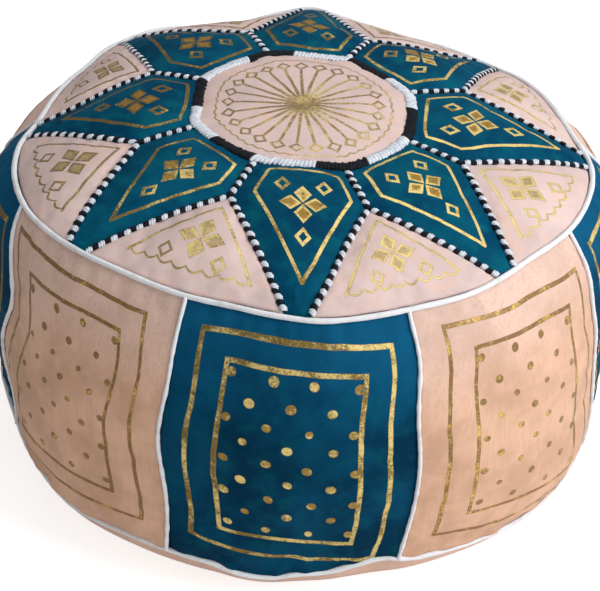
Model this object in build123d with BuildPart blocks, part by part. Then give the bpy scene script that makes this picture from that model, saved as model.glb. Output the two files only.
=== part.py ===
from build123d import *
from math import acos, asin, atan, atan2, copysign, cos, degrees, hypot, pi, radians, sin, sqrt, tan
import os

# Round leather pouf: a sewn cover with a star-patterned top, piped seams and a zip in the underside,
# over a liner bag of filling. Millimetres, +Z up, origin on the floor at the middle of the base.

# Overall form
rim_radius = 235.0
rim_height = 265.0
crown_height = 39.0
bulge_radius = 275.0
bulge_height = 154.0
foot_radius = 266.0
foot_height = 31.0
base_round_width = 40.0
crown_power = 2.7

# Leather, seams and running clearance
leather_thickness = 2.0
clearance = 0.3
seam_gap = 1.0
side_seam_draw = 6.0
puff_share = 0.09

# Star on the top
star_points = 8
lace_ring_radius = 90.0
knot_radius = 142.0
petal_tip_width = 16.5
medallion_puff = 3.0
rim_fade_power = 6

# Lacing
lace_ring_width = 13.0
lace_ring_height = 3.5
lace_ring_stretches = 12
lace_ring_start_share = 0.23
strip_width = 7.0
strip_height = 2.2

# Piping
top_welt_radius = 3.0
bottom_welt_radius = 2.5
side_welt_radius = 2.3
side_welt_proud = 0.8

# Side panels: the angle that each takes up, from the front one round to the back one
panel_angles = [41.5, 39.6, 34.15, 34.15, 34.25, 34.2]

# Zip in the underside
crease_depth = 12.0
crease_radius = 34.0
zip_length = 380.0
zip_window_width = 15.0
tape_width = 12.0
tape_thickness = 0.8
tape_overrun = 10.0
tape_margin = 0.6
row_gap = 1.4
tooth_reach = 3.3
tooth_pitch = 4.0
tooth_thickness = 1.7
tooth_height = 3.4
row_cord = 1.2
stop_length = 3.0
slider_length = 14.0
slider_plate = 1.6
slider_side_wall = 1.4
slider_blade = 0.8
slider_blade_length = 4.0
slider_corner = 2.0
bail_length = 6.0
bail_width = 3.0
bail_height = 4.4
pivot_radius = 0.8
pull_length = 32.0
pull_width = 8.0
pull_thickness = 1.6
pull_corner = 1.2

# Inside
liner_thickness = 1.0

os.makedirs("parts", exist_ok=True)


def save(builder, name):
    """Label a finished piece and write its file."""
    builder.part.label = name
    export_step(builder.part, f"parts/{name}.step")


# Crown of the top

def crown(radius):
    """Height of the top's seams at a distance from the middle."""
    return rim_height + crown_height * (1 - (radius / rim_radius) ** crown_power)


def crown_slope(radius):
    """Rise of the crown per unit of radius, negative as it falls to the rim."""
    return -crown_height / rim_radius * crown_power * (radius / rim_radius) ** (crown_power - 1)


# Side profile: two arcs that meet upright at the bulge

def side_arc_radius(bulge, end_radius, end_height):
    """Radius of the arc from the bulge, where it is upright, to one end of the side: negative if it flares."""
    inset = bulge - end_radius
    return (inset**2 + (end_height - bulge_height) ** 2) / (2 * inset)


def side_end(height):
    """Radius and height of the end of the side that a height belongs to."""
    if height > bulge_height:
        return rim_radius, rim_height
    return foot_radius, foot_height


def side_radius(height, bulge):
    """Distance of the side from the axis at a height, for one bulge."""
    arc = side_arc_radius(bulge, *side_end(height))
    return bulge - arc + copysign(sqrt(arc**2 - (height - bulge_height) ** 2), arc)


def side_thickness(height, bulge):
    """Level thickness of the leather where the side leans."""
    arc = side_arc_radius(bulge, *side_end(height))
    return leather_thickness / cos(asin((height - bulge_height) / arc))


seam_bulge = bulge_radius - side_seam_draw
panel_top = rim_height - top_welt_radius - clearance
panel_bottom = foot_height + bottom_welt_radius + clearance
base_top = foot_height - bottom_welt_radius - clearance
top_edge_radius = rim_radius - top_welt_radius - clearance
base_flat_radius = foot_radius - base_round_width

# Medallion

medallion_radius = lace_ring_radius - seam_gap / 2
medallion_rise = crown(0) + medallion_puff - crown(medallion_radius)
medallion_dome = (medallion_radius**2 + medallion_rise**2) / (2 * medallion_rise)
medallion_turn = degrees(asin(medallion_radius / medallion_dome))
dome_centre = crown(0) + medallion_puff - medallion_dome

with BuildPart() as medallion:
    with BuildSketch(Plane.XZ):
        with BuildLine():
            outside = CenterArc((0, dome_centre), medallion_dome, 90, -medallion_turn)
            inside = CenterArc((0, dome_centre - leather_thickness), medallion_dome, 90, -medallion_turn)
            Line(outside @ 1, inside @ 1)
            Line(inside @ 0, outside @ 0)
        make_face()
    revolve(axis=Axis.Z)
save(medallion, "medallion")

# Star petals and rim triangles: puffed leather, lofted through upright sections across each one

point_angle = 360 / star_points
half_point = radians(point_angle / 2)
knot_along = knot_radius * cos(half_point)
knot_across = knot_radius * sin(half_point)
tip_across = petal_tip_width / 2
tip_along = sqrt(rim_radius**2 - tip_across**2)
petal_taper = (tip_across - knot_across) / (tip_along - knot_along)
tip_angle = atan2(tip_across, tip_along)
corner_along = rim_radius * cos(half_point - tip_angle)
corner_across = rim_radius * sin(half_point - tip_angle)
triangle_taper = corner_across / (corner_along - knot_radius)
petal_start_radius = lace_ring_radius + seam_gap / 2


def petal_half_width(along):
    """Half the width of a petal at a distance along its middle line."""
    inner_edge = along * tan(half_point)
    outer_edge = knot_across + petal_taper * (along - knot_along)
    return min(inner_edge, outer_edge) - seam_gap / 2 * hypot(1, petal_taper)


def triangle_half_width(along):
    """Half the width of a rim triangle at a distance along its middle line."""
    return triangle_taper * (along - knot_radius) - seam_gap / 2 * hypot(1, triangle_taper)


def rim_fade(along):
    """Share of the puff that is left at a distance along the middle line."""
    return 1 - (along / rim_radius) ** rim_fade_power


def petal_puff(along):
    """Rise of a petal's middle line over its seams, none at the lacing and at the rim."""
    start = (along - petal_start_radius) / (knot_along - petal_start_radius)
    swell = sin(pi / 2 * min(1, max(0, start)))
    return puff_share * petal_half_width(along) * swell * rim_fade(along)


def triangle_puff(along):
    """Rise of a rim triangle's middle line over its seams."""
    return puff_share * triangle_half_width(along) * rim_fade(along)


def leather_section(along, half_width, puff):
    """Upright section across a piece of the top, at a distance along its middle line."""
    edge = crown(hypot(along, half_width))
    middle = crown(along) + puff
    with BuildSketch(Plane.YZ.offset(along)) as section:
        with BuildLine():
            ThreePointArc((-half_width, edge), (0, middle), (half_width, edge))
            Line((half_width, edge), (half_width, edge - leather_thickness))
            ThreePointArc(
                (half_width, edge - leather_thickness),
                (0, middle - leather_thickness),
                (-half_width, edge - leather_thickness),
            )
            Line((-half_width, edge - leather_thickness), (-half_width, edge))
        make_face()
    return section.sketch


petal_inner_shares = [-0.35, 0, 0.33, 0.67, 1]
petal_outer_shares = [0, 0.2, 0.4, 0.6, 0.8, 1.03]
triangle_shares = [0.02, 0.2, 0.4, 0.6, 0.8, 1.03]
band_height = rim_height + crown_height + medallion_puff

with BuildPart() as petal_blank:
    for share in petal_inner_shares:
        station = petal_start_radius + share * (knot_along - petal_start_radius)
        add(leather_section(station, petal_half_width(station), petal_puff(station)))
    loft()
    for share in petal_outer_shares:
        station = knot_along + share * (tip_along - knot_along)
        add(leather_section(station, petal_half_width(station), petal_puff(station)))
    loft()
    with BuildSketch():
        Circle(top_edge_radius)
        Circle(petal_start_radius, mode=Mode.SUBTRACT)
    extrude(amount=band_height, mode=Mode.INTERSECT)

with BuildPart() as triangle_blank:
    for share in triangle_shares:
        station = knot_radius + share * (rim_radius - knot_radius)
        add(leather_section(station, triangle_half_width(station), triangle_puff(station)))
    loft()
    with BuildSketch():
        Circle(top_edge_radius)
    extrude(amount=band_height, mode=Mode.INTERSECT)

front = -90
for number in range(star_points):
    with BuildPart() as star_petal:
        add(petal_blank.part, rotation=(0, 0, front + number * point_angle))
    save(star_petal, f"star_petal_{number + 1}")
    with BuildPart() as rim_triangle:
        add(triangle_blank.part, rotation=(0, 0, front + (number + 0.5) * point_angle))
    save(rim_triangle, f"rim_triangle_{number + 1}")

# Lacing round the medallion: flat-bottomed stretches over the seam, white and black in turn

stretch_angle = 360 / lace_ring_stretches
stretch_gap_angle = degrees(seam_gap / lace_ring_radius)
ring_seat = crown(lace_ring_radius) + clearance + lace_ring_width * medallion_puff / medallion_radius
ring_plane = Plane(
    origin=(lace_ring_radius, 0, ring_seat), x_dir=(1, 0, crown_slope(lace_ring_radius)), z_dir=(0, -1, 0)
)

with BuildPart() as stretch_blank:
    with BuildSketch(ring_plane):
        with BuildLine():
            over = ThreePointArc((-lace_ring_width / 2, 0), (0, lace_ring_height), (lace_ring_width / 2, 0))
            Line(over @ 1, over @ 0)
        make_face()
    revolve(axis=Axis.Z, revolution_arc=stretch_angle - stretch_gap_angle)

for colour, offset in (("white", 0), ("black", 1)):
    with BuildPart() as medallion_lace:
        for number in range(offset, lace_ring_stretches, 2):
            turn = front + (number - 1 + lace_ring_start_share) * stretch_angle
            add(stretch_blank.part, rotation=(0, 0, turn))
    save(medallion_lace, f"medallion_lace_{colour}")

# Lacing on the star's seams: one strip of wraps over each seam, lofted along the crown

short_strip_shares = [0, 0.5, 1]
long_strip_shares = [0, 0.2, 0.4, 0.6, 0.8, 1]
strip_seat = clearance + strip_width * puff_share
apex_angle = 2 * atan(triangle_taper)
rim_crossing_angle = atan(-petal_taper) + tip_angle
long_strip_start_gap = strip_width / 2 / tan(apex_angle / 2) + clearance
long_strip_end_gap = (rim_radius - top_edge_radius + strip_width / 2) / cos(rim_crossing_angle)
short_strip_start_gap = lace_ring_width / 2 + clearance
short_strip_end_gap = strip_width / 2 / tan((pi - apex_angle / 2) / 2) + clearance


def top_point(radius, angle):
    """Level position on the top, at a distance and a turn from the middle of a petal."""
    return Vector(radius * cos(angle), radius * sin(angle))


def strip_section(spot, along):
    """Section of a lacing strip that sits on the crown at one spot of its seam."""
    outward = spot.normalized()
    slope = crown_slope(spot.length)
    normal = Vector(-slope * outward.X, -slope * outward.Y, 1).normalized()
    tangent = Vector(along.X, along.Y, slope * along.dot(outward))
    seat = Vector(spot.X, spot.Y, crown(spot.length)) + normal * strip_seat
    with BuildSketch(Plane(origin=seat, x_dir=normal.cross(tangent), z_dir=tangent)) as section:
        with BuildLine():
            over = ThreePointArc((-strip_width / 2, 0), (0, strip_height), (strip_width / 2, 0))
            Line(over @ 1, over @ 0)
        make_face()
    return section.sketch


knot = top_point(knot_radius, half_point)
ring_spot = top_point(lace_ring_radius, half_point)
near_tip = top_point(rim_radius, tip_angle)
far_tip = top_point(rim_radius, 2 * half_point - tip_angle)
strip_runs = [
    (ring_spot, knot, short_strip_start_gap, short_strip_end_gap, short_strip_shares),
    (knot, near_tip, long_strip_start_gap, long_strip_end_gap, long_strip_shares),
    (knot, far_tip, long_strip_start_gap, long_strip_end_gap, long_strip_shares),
]

with BuildPart() as strip_blanks:
    for start, end, start_gap, end_gap, shares in strip_runs:
        along = (end - start).normalized()
        length = (end - start).length - start_gap - end_gap
        for share in shares:
            spot = start + along * (start_gap + length * share)
            add(strip_section(spot, along))
        loft()

with BuildPart() as star_lace:
    with PolarLocations(0, star_points, start_angle=front):
        add(strip_blanks.part, clean=False)
save(star_lace, "star_lace")

# Piping round the rim and the foot

with BuildPart() as top_welt:
    with Locations((0, 0, rim_height)):
        Torus(rim_radius, top_welt_radius)
save(top_welt, "top_welt")

with BuildPart() as bottom_welt:
    with Locations((0, 0, foot_height)):
        Torus(foot_radius, bottom_welt_radius)
save(bottom_welt, "bottom_welt")

# Side panels: leather that bulges between its two drawn-in seams, lofted through level sections

panel_edge_gap = side_welt_radius + clearance
panel_level_shares = [0, 0.125, 0.25, 0.375, 0.5, 0.625, 0.75, 0.875, 1]


def panel_section(height, half_angle):
    """Level section of a side panel at one height."""
    seam = Vector(cos(half_angle), sin(half_angle))
    across = Vector(sin(half_angle), -cos(half_angle)) * panel_edge_gap
    outer = seam * side_radius(height, seam_bulge) + across
    inner = seam * (side_radius(height, seam_bulge) - side_thickness(height, seam_bulge)) + across
    middle = side_radius(height, bulge_radius)
    inner_middle = middle - side_thickness(height, bulge_radius)
    with BuildSketch(Plane.XY.offset(height)) as section:
        with BuildLine():
            ThreePointArc((outer.X, -outer.Y), (middle, 0), (outer.X, outer.Y))
            Line((outer.X, outer.Y), (inner.X, inner.Y))
            ThreePointArc((inner.X, inner.Y), (inner_middle, 0), (inner.X, -inner.Y))
            Line((inner.X, -inner.Y), (outer.X, -outer.Y))
        make_face()
    return section.sketch


panel_round = panel_angles + panel_angles[-2:0:-1]
panel_turn = front - panel_angles[0] / 2
seam_turns = []
for number, angle in enumerate(panel_round):
    panel_turn += angle / 2
    with BuildPart() as panel_blank:
        for share in panel_level_shares:
            height = panel_bottom + (panel_top - panel_bottom) * share
            add(panel_section(height, radians(angle / 2)))
        loft()
    with BuildPart() as side_panel:
        add(panel_blank.part, rotation=(0, 0, panel_turn))
    save(side_panel, f"side_panel_{number + 1}")
    panel_turn += angle / 2
    seam_turns.append(panel_turn)

# Side welts: piping down each seam between two side panels

side_welt_middle = (seam_bulge + side_welt_proud, bulge_height)


def side_welt_end(end_radius, end_height, crossing_welt_radius):
    """End of a side welt's middle line, clear of the piping that crosses it there."""
    arc = side_arc_radius(seam_bulge, end_radius, end_height)
    turn = asin((end_height - bulge_height) / arc)
    turn -= copysign((crossing_welt_radius + clearance) / arc, turn)
    reach = arc + side_welt_proud
    return seam_bulge - arc + reach * cos(turn), bulge_height + reach * sin(turn)


with BuildPart() as side_welt_blank:
    with BuildLine(Plane.XZ) as seam_path:
        foot_end = side_welt_end(foot_radius, foot_height, bottom_welt_radius)
        rim_end = side_welt_end(rim_radius, rim_height, top_welt_radius)
        TangentArc(side_welt_middle, foot_end, tangent=(0, -1))
        TangentArc(side_welt_middle, rim_end, tangent=(0, 1))
    with BuildSketch(Plane(origin=seam_path.wire() @ 0, z_dir=seam_path.wire() % 0)):
        Circle(side_welt_radius)
    sweep()

for number, turn in enumerate(seam_turns):
    with BuildPart() as side_welt:
        add(side_welt_blank.part, rotation=(0, 0, turn))
    save(side_welt, f"side_welt_{number + 1}")

# Underside: a dished sheet of leather with a crease along the zip, in two halves

tape_inner = row_gap / 2 + tooth_reach
tape_outer = tape_inner + tape_width
crease_roof = tape_outer + tape_margin
crease_inner_radius = crease_radius - leather_thickness
crease_reach = crease_roof + sqrt(crease_inner_radius**2 - (crease_inner_radius - crease_depth) ** 2)
cut_length = 2 * (foot_radius + leather_thickness)


def base_arc_radius(edge_radius, edge_height):
    """Radius of the arc that leaves the floor level and reaches the edge of the underside."""
    return ((edge_radius - base_flat_radius) ** 2 + edge_height**2) / (2 * edge_height)


def crease_section(rise):
    """Cross-section of the crease, seen along the zip, raised by a thickness."""
    arc = crease_radius - rise
    turn = acos((crease_radius - crease_depth - rise) / arc)
    with BuildSketch(Plane.YZ) as section:
        with BuildLine():
            bend = CenterArc((crease_reach, crease_radius), arc, -90, -degrees(turn))
            Line(bend @ 1, (0, crease_depth + rise))
            Line((0, crease_depth + rise), (0, -leather_thickness))
            Line((0, -leather_thickness), (crease_reach, -leather_thickness))
            Line((crease_reach, -leather_thickness), bend @ 0)
        make_face()
        mirror(about=Plane.YZ)
    return section.sketch


def base_dish(rise, top):
    """Solid dish of the underside up to one height, raised by a thickness."""
    arc = base_arc_radius(foot_radius, base_top)
    turn = acos((arc - top) / (arc - rise))
    with BuildPart() as dish:
        with BuildSketch(Plane.XZ):
            with BuildLine():
                Line((0, rise), (base_flat_radius, rise))
                side = CenterArc((base_flat_radius, arc), arc - rise, -90, degrees(turn))
                Line(side @ 1, (0, top))
                Line((0, top), (0, rise))
            make_face()
        revolve(axis=Axis.Z)
        extrude(crease_section(rise), cut_length / 2, Axis.X.direction, both=True, mode=Mode.SUBTRACT)
    return dish.part


dish_outside = base_dish(0, base_top)
dish_inside = base_dish(leather_thickness, base_top + leather_thickness)

with BuildPart() as base_sheet:
    add(dish_outside)
    add(dish_inside, mode=Mode.SUBTRACT)
    with BuildSketch():
        Rectangle(zip_length + 2 * (clearance + stop_length), zip_window_width)
    extrude(amount=base_top, mode=Mode.SUBTRACT)

for name, keep, shift in (("front", Keep.BOTTOM, -1), ("back", Keep.TOP, 1)):
    with BuildPart() as bottom_panel:
        add(base_sheet.part)
        split(bisect_by=Plane.ZX.offset(shift * seam_gap / 2), keep=keep)
    save(bottom_panel, f"bottom_panel_{name}")

# Zip: tapes, two rows of teeth and end stops

tape_bottom = crease_depth + leather_thickness
tooth_middle = tape_bottom + tape_thickness / 2
tooth_count = int(zip_length / tooth_pitch)

for name, side, phase_share in (("front", -1, 0.25), ("back", 1, 0.75)):
    with BuildPart() as zip_tape:
        with BuildSketch(Plane.XY.offset(tape_bottom)):
            with Locations((0, side * (tape_inner + tape_width / 2))):
                Rectangle(zip_length + 2 * tape_overrun, tape_width)
        extrude(amount=tape_thickness)
    save(zip_tape, f"zip_tape_{name}")
    row_start = -zip_length / 2 + phase_share * tooth_pitch
    row_middle = side * (row_gap + tooth_reach) / 2
    with BuildPart() as zip_teeth:
        with BuildSketch(Plane.XY.offset(tooth_middle - tooth_height / 2)):
            with Locations(*[(row_start + number * tooth_pitch, row_middle) for number in range(tooth_count)]):
                Rectangle(tooth_thickness, tooth_reach)
        extrude(amount=tooth_height)
        with BuildSketch(Plane.XY.offset(tooth_middle - tape_thickness / 2)):
            with Locations((0, side * (tape_inner - row_cord / 2))):
                Rectangle(zip_length, row_cord)
        extrude(amount=tape_thickness)
    save(zip_teeth, f"zip_teeth_{name}")

stop_middle = (zip_length + stop_length) / 2 + clearance

with BuildPart() as zip_stops:
    with BuildSketch(Plane.XY.offset(tooth_middle - tooth_height / 2)):
        with Locations((-stop_middle, 0)):
            Rectangle(stop_length, row_gap + 2 * tooth_reach)
        for side in (-1, 1):
            with Locations((stop_middle, side * (row_gap + tooth_reach) / 2)):
                Rectangle(stop_length, tooth_reach)
    extrude(amount=tooth_height)
save(zip_stops, "zip_stops")

# Slider: two plates round the teeth, joined by a blade that runs between the two rows

slider_inner_width = 2 * (tape_inner + clearance)
slider_width = slider_inner_width + 2 * slider_side_wall
slider_inner_height = tooth_height + 2 * clearance
slider_bottom = tooth_middle - slider_inner_height / 2 - slider_plate
slider_height = slider_inner_height + 2 * slider_plate
slider_middle = (zip_length - slider_length) / 2
tape_slot = tape_thickness + 2 * clearance
pivot_height = slider_bottom - bail_height / 2

with BuildPart() as zip_slider:
    with BuildSketch(Plane.XY.offset(slider_bottom)):
        with Locations((slider_middle, 0)):
            RectangleRounded(slider_length, slider_width, slider_corner)
    extrude(amount=slider_height)
    with BuildSketch(Plane.YZ.offset(slider_middle - slider_length / 2)):
        with Locations((0, tooth_middle)):
            Rectangle(slider_inner_width, slider_inner_height)
            Rectangle(slider_width, tape_slot)
    extrude(amount=slider_length, mode=Mode.SUBTRACT)
    with BuildSketch(Plane.XY.offset(slider_bottom)):
        with Locations((slider_middle + (slider_length - slider_blade_length) / 2, 0)):
            Rectangle(slider_blade_length, slider_blade)
    extrude(amount=slider_height)
    with BuildSketch(Plane.XZ):
        with Locations((slider_middle, pivot_height)):
            Rectangle(bail_length, bail_height)
    extrude(amount=bail_width / 2, both=True)
    bail_corners = zip_slider.edges().filter_by(Axis.Y).group_by(Axis.Z)[0]
    fillet(bail_corners, bail_height / 4)
    with BuildSketch(Plane.XZ):
        with Locations((slider_middle, pivot_height)):
            Circle(pivot_radius + clearance)
    extrude(amount=bail_width / 2, both=True, mode=Mode.SUBTRACT)
save(zip_slider, "zip_slider")

# Pull tab: a plate with a fork that straddles the bail, and a pin across it

fork_inner = bail_width + 2 * clearance
fork_depth = hypot(bail_length, bail_height) / 2 + clearance

with BuildPart() as zip_pull:
    with BuildSketch(Plane.XY.offset(pivot_height - pull_thickness / 2)):
        with Locations((slider_middle + pivot_radius - pull_length / 2, 0)):
            RectangleRounded(pull_length, pull_width, pull_corner)
        with Locations((slider_middle + (pivot_radius - fork_depth) / 2, 0)):
            Rectangle(fork_depth + pivot_radius, fork_inner, mode=Mode.SUBTRACT)
    extrude(amount=pull_thickness)
    with BuildSketch(Plane.XZ):
        with Locations((slider_middle, pivot_height)):
            Circle(pivot_radius)
    extrude(amount=(fork_inner + pull_width) / 4, both=True)
save(zip_pull, "zip_pull")

# Liner bag and filling: one outline, drawn in by an inset, over the crease and the zip

liner_corner_radius = top_edge_radius - clearance
liner_foot_radius = foot_radius - bottom_welt_radius - clearance
liner_bulge = seam_bulge - leather_thickness - clearance
crown_shares = [0.3, 0.55, 0.75, 0.9]
slider_top = slider_bottom + slider_height


def filled_form(inset):
    """Solid inside of the cover, drawn in from the leather by the clearance and an inset."""
    rise = leather_thickness + clearance + inset
    corner_radius = liner_corner_radius - inset
    corner_height = crown(liner_corner_radius) - rise
    edge_radius = liner_foot_radius - inset
    bulge = liner_bulge - inset
    crown_points = [(corner_radius * share, crown(corner_radius * share) - rise) for share in crown_shares]
    with BuildPart() as form:
        with BuildSketch(Plane.XZ):
            with BuildLine():
                Line((0, rise), (base_flat_radius, rise))
                TangentArc((base_flat_radius, rise), (edge_radius, foot_height), tangent=(1, 0))
                TangentArc((bulge, bulge_height), (edge_radius, foot_height), tangent=(0, -1))
                TangentArc((bulge, bulge_height), (corner_radius, corner_height), tangent=(0, 1))
                Spline(
                    (corner_radius, corner_height),
                    *reversed(crown_points),
                    (0, crown(0) - rise),
                    tangents=[(-1, -crown_slope(corner_radius)), (-1, 0)],
                )
                Line((0, crown(0) - rise), (0, rise))
            make_face()
        revolve(axis=Axis.Z)
        extrude(crease_section(rise), cut_length / 2, Axis.X.direction, both=True, mode=Mode.SUBTRACT)
        with BuildSketch():
            Rectangle(
                zip_length + 2 * (tape_overrun + clearance + inset),
                2 * (tape_outer + clearance + inset),
            )
        extrude(amount=slider_top + clearance + inset, mode=Mode.SUBTRACT)
    return form.part


liner_outside = filled_form(0)
liner_inside = filled_form(liner_thickness)

with BuildPart() as liner_bag:
    add(liner_outside)
    add(liner_inside, mode=Mode.SUBTRACT)
save(liner_bag, "liner_bag")

with BuildPart() as stuffing:
    add(filled_form(liner_thickness + clearance))
save(stuffing, "stuffing")
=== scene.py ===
"""Round leather pouf with a star-patterned top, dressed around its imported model.

Metres, +Z up, origin on the floor under the middle, front towards -Y. Turns are given in degrees
from the front, positive towards +X, unless a name says otherwise.
"""

import logging
from dataclasses import dataclass, field
from enum import Enum
from functools import reduce
from math import acos, atan, cos, degrees, hypot, pi, radians, sin, sqrt, tan
from typing import Callable, Sequence

import bmesh
import bpy
import numpy as np
from mathutils import Matrix, Vector, noise


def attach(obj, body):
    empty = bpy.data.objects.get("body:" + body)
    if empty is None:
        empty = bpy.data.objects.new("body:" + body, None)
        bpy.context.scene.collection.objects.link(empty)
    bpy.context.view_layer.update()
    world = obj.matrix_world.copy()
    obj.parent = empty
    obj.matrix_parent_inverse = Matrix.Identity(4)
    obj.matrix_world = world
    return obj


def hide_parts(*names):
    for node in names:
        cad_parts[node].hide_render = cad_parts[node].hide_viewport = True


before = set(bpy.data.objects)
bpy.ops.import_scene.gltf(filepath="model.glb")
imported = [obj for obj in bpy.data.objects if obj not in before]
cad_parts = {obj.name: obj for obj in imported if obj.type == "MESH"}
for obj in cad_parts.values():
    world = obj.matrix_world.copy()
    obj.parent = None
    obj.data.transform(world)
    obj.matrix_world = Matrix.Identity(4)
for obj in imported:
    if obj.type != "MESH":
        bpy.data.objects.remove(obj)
log = logging.getLogger("pouf")

MM = 0.001
COVER = "cover"
TOOLING_MAP = "tooling"
MERGE_REACH = 0.00002
PHOTO_WIDTH = 600
WHITE = (1.0, 1.0, 1.0, 1.0)

Colour = tuple[float, float, float]


def operator(name: str, flipped: bool = False) -> Callable[..., "Wire"]:
    """Return a method of a value that adds one Math node.

    Args:
        name: The node's operation.
        flipped: Whether the value itself comes last.

    Returns:
        The method, which takes the other values if there are any.
    """
    def work(wire: "Wire", *others: "Wire | float") -> "Wire":
        """Return what the node makes of the values."""
        values = (*others, wire) if flipped else (wire, *others)
        return wire.bench.node("ShaderNodeMath", {"operation": name}, dict(enumerate(values)))

    return work


class Wire:
    """A shader value that can stand in a sum like a number.

    Its operators work on this value, and where they take two on another value or a number. `over` gives
    1 where this value is over a limit, `turn_from` the angle whose tangent is this value over the other.
    """

    def __init__(self, bench: "Bench", socket: bpy.types.NodeSocket) -> None:
        """Keep the bench that the value is made on, and the socket that gives it."""
        self.bench = bench
        self.socket = socket

    __add__, __radd__ = operator("ADD"), operator("ADD", flipped=True)
    __sub__, __rsub__ = operator("SUBTRACT"), operator("SUBTRACT", flipped=True)
    __mul__, __rmul__ = operator("MULTIPLY"), operator("MULTIPLY", flipped=True)
    __truediv__, __abs__ = operator("DIVIDE"), operator("ABSOLUTE")
    lower, upper = operator("MINIMUM"), operator("MAXIMUM")
    floor, fraction = operator("FLOOR"), operator("FRACT")
    sine, root = operator("SINE"), operator("SQRT")
    turn_from, over = operator("ARCTAN2"), operator("GREATER_THAN")

    def ramp(self, low: "Wire | float", high: "Wire | float") -> "Wire":
        """Rise smoothly from 0 at one value to 1 at another.

        Args:
            low: Where the result is 0.
            high: Where the result is 1.

        Returns:
            The smooth step.
        """
        settings = {"interpolation_type": "SMOOTHSTEP"}
        return self.bench.node("ShaderNodeMapRange", settings, {0: self, 1: low, 2: high})

    def within(self, limit: float, soft: float) -> "Wire":
        """Return 1 below a limit and 0 over it, with an edge that is soft to both sides."""
        return 1 - self.ramp(limit - soft, limit + soft)


class Bench:
    """Where one material, or the world's, is put together."""

    def __init__(self, name: str, store: Sequence | None = None) -> None:
        """Start an empty material.

        Args:
            name: The material's name.
            store: Where it is kept, if not with the materials.
        """
        self.material = (bpy.data.materials if store is None else store).new(name)
        self.material.use_nodes = True
        self.tree = self.material.node_tree
        self.tree.nodes.clear()

    def node(self, kind: str, settings: dict | None = None, inputs: dict | None = None,
             output: int | str = 0) -> Wire:
        """Add a node.

        Args:
            kind: The node's type.
            settings: Its own settings by name.
            inputs: A value or a link for each socket, by name or place.
            output: The output that is wanted.

        Returns:
            That output.
        """
        made = self.tree.nodes.new(kind)
        for key, value in (settings or {}).items():
            setattr(made, key, value)
        for key, value in (inputs or {}).items():
            if isinstance(value, Wire):
                self.tree.links.new(value.socket, made.inputs[key])
            else:
                made.inputs[key].default_value = value
        return Wire(self, made.outputs[output] if made.outputs else None)

    def split(self, whole: Wire, kind: str = "ShaderNodeSeparateXYZ") -> list[Wire]:
        """Return the three parts of a place, or with another kind of node of a colour."""
        made = self.node(kind, None, {0: whole})
        return [Wire(self, output) for output in made.socket.node.outputs]

    def mix(self, factor: Wire | float, first: Wire | Colour, second: Wire | Colour) -> Wire:
        """Mix two colours.

        Args:
            factor: 0 for the first, 1 for the second.
            first: A colour or a link.
            second: A colour or a link.

        Returns:
            The mixed colour.
        """
        inputs = {0: factor}
        for place, colour in ((6, first), (7, second)):
            inputs[place] = colour if isinstance(colour, Wire) else (*colour, 1.0)
        return self.node("ShaderNodeMix", {"data_type": "RGBA"}, inputs, 2)

    def shift(self, place: Wire, by: Wire, amount: float) -> Wire:
        """Move a place by a vector.

        Args:
            place: The place.
            by: The vector.
            amount: How much of the vector is added.

        Returns:
            The moved place.
        """
        inputs = {0: by, 1: (amount, amount, amount), 2: place}
        return self.node("ShaderNodeVectorMath", {"operation": "MULTIPLY_ADD"}, inputs)

    def object_place(self) -> Wire:
        """Return the place on the object, in metres."""
        return self.node("ShaderNodeTexCoord", output="Object")

    def noise(self, place: Wire, size: float, detail: float = 2.0, roughness: float = 0.5) -> Wire:
        """Add a cloudy value.

        Args:
            place: Where it is read.
            size: How large one cloud is, in metres.
            detail: How many finer layers it has.
            roughness: How strong those are.

        Returns:
            The value, about 0.3 to 0.7.
        """
        inputs = {"Vector": place, "Scale": 1 / size, "Detail": detail, "Roughness": roughness}
        return self.node("ShaderNodeTexNoise", None, inputs)

    def cells(self, place: Wire, size: float) -> Wire:
        """Add a pattern of cells, as in grain.

        Args:
            place: Where it is read.
            size: How wide one cell is, in metres.

        Returns:
            The distance from the nearest cell's middle.
        """
        return self.node("ShaderNodeTexVoronoi", None, {"Vector": place, "Scale": 1 / size}, "Distance")

    def bump(self, height: Wire, depth: float) -> Wire:
        """Turn a height into a normal.

        Args:
            height: The height, 0 to 1.
            depth: What 1 stands for, in metres.

        Returns:
            The normal.
        """
        return self.node("ShaderNodeBump", None, {"Strength": 1.0, "Distance": depth, "Height": height})

    def finish(self, inputs: dict) -> bpy.types.Material:
        """Close the material with its surface.

        Args:
            inputs: Values or links for the surface's sockets.

        Returns:
            The material.
        """
        surface = self.node("ShaderNodeBsdfPrincipled", None, inputs)
        self.node("ShaderNodeOutputMaterial", None, {"Surface": surface})
        return self.material


class Pattern(Enum):
    """The foil patterns pressed into the leather."""

    PLAIN = "plain"
    SUNBURST = "sunburst"
    PETAL = "petal"
    TRIANGLE = "triangle"
    PANEL = "panel"


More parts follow.
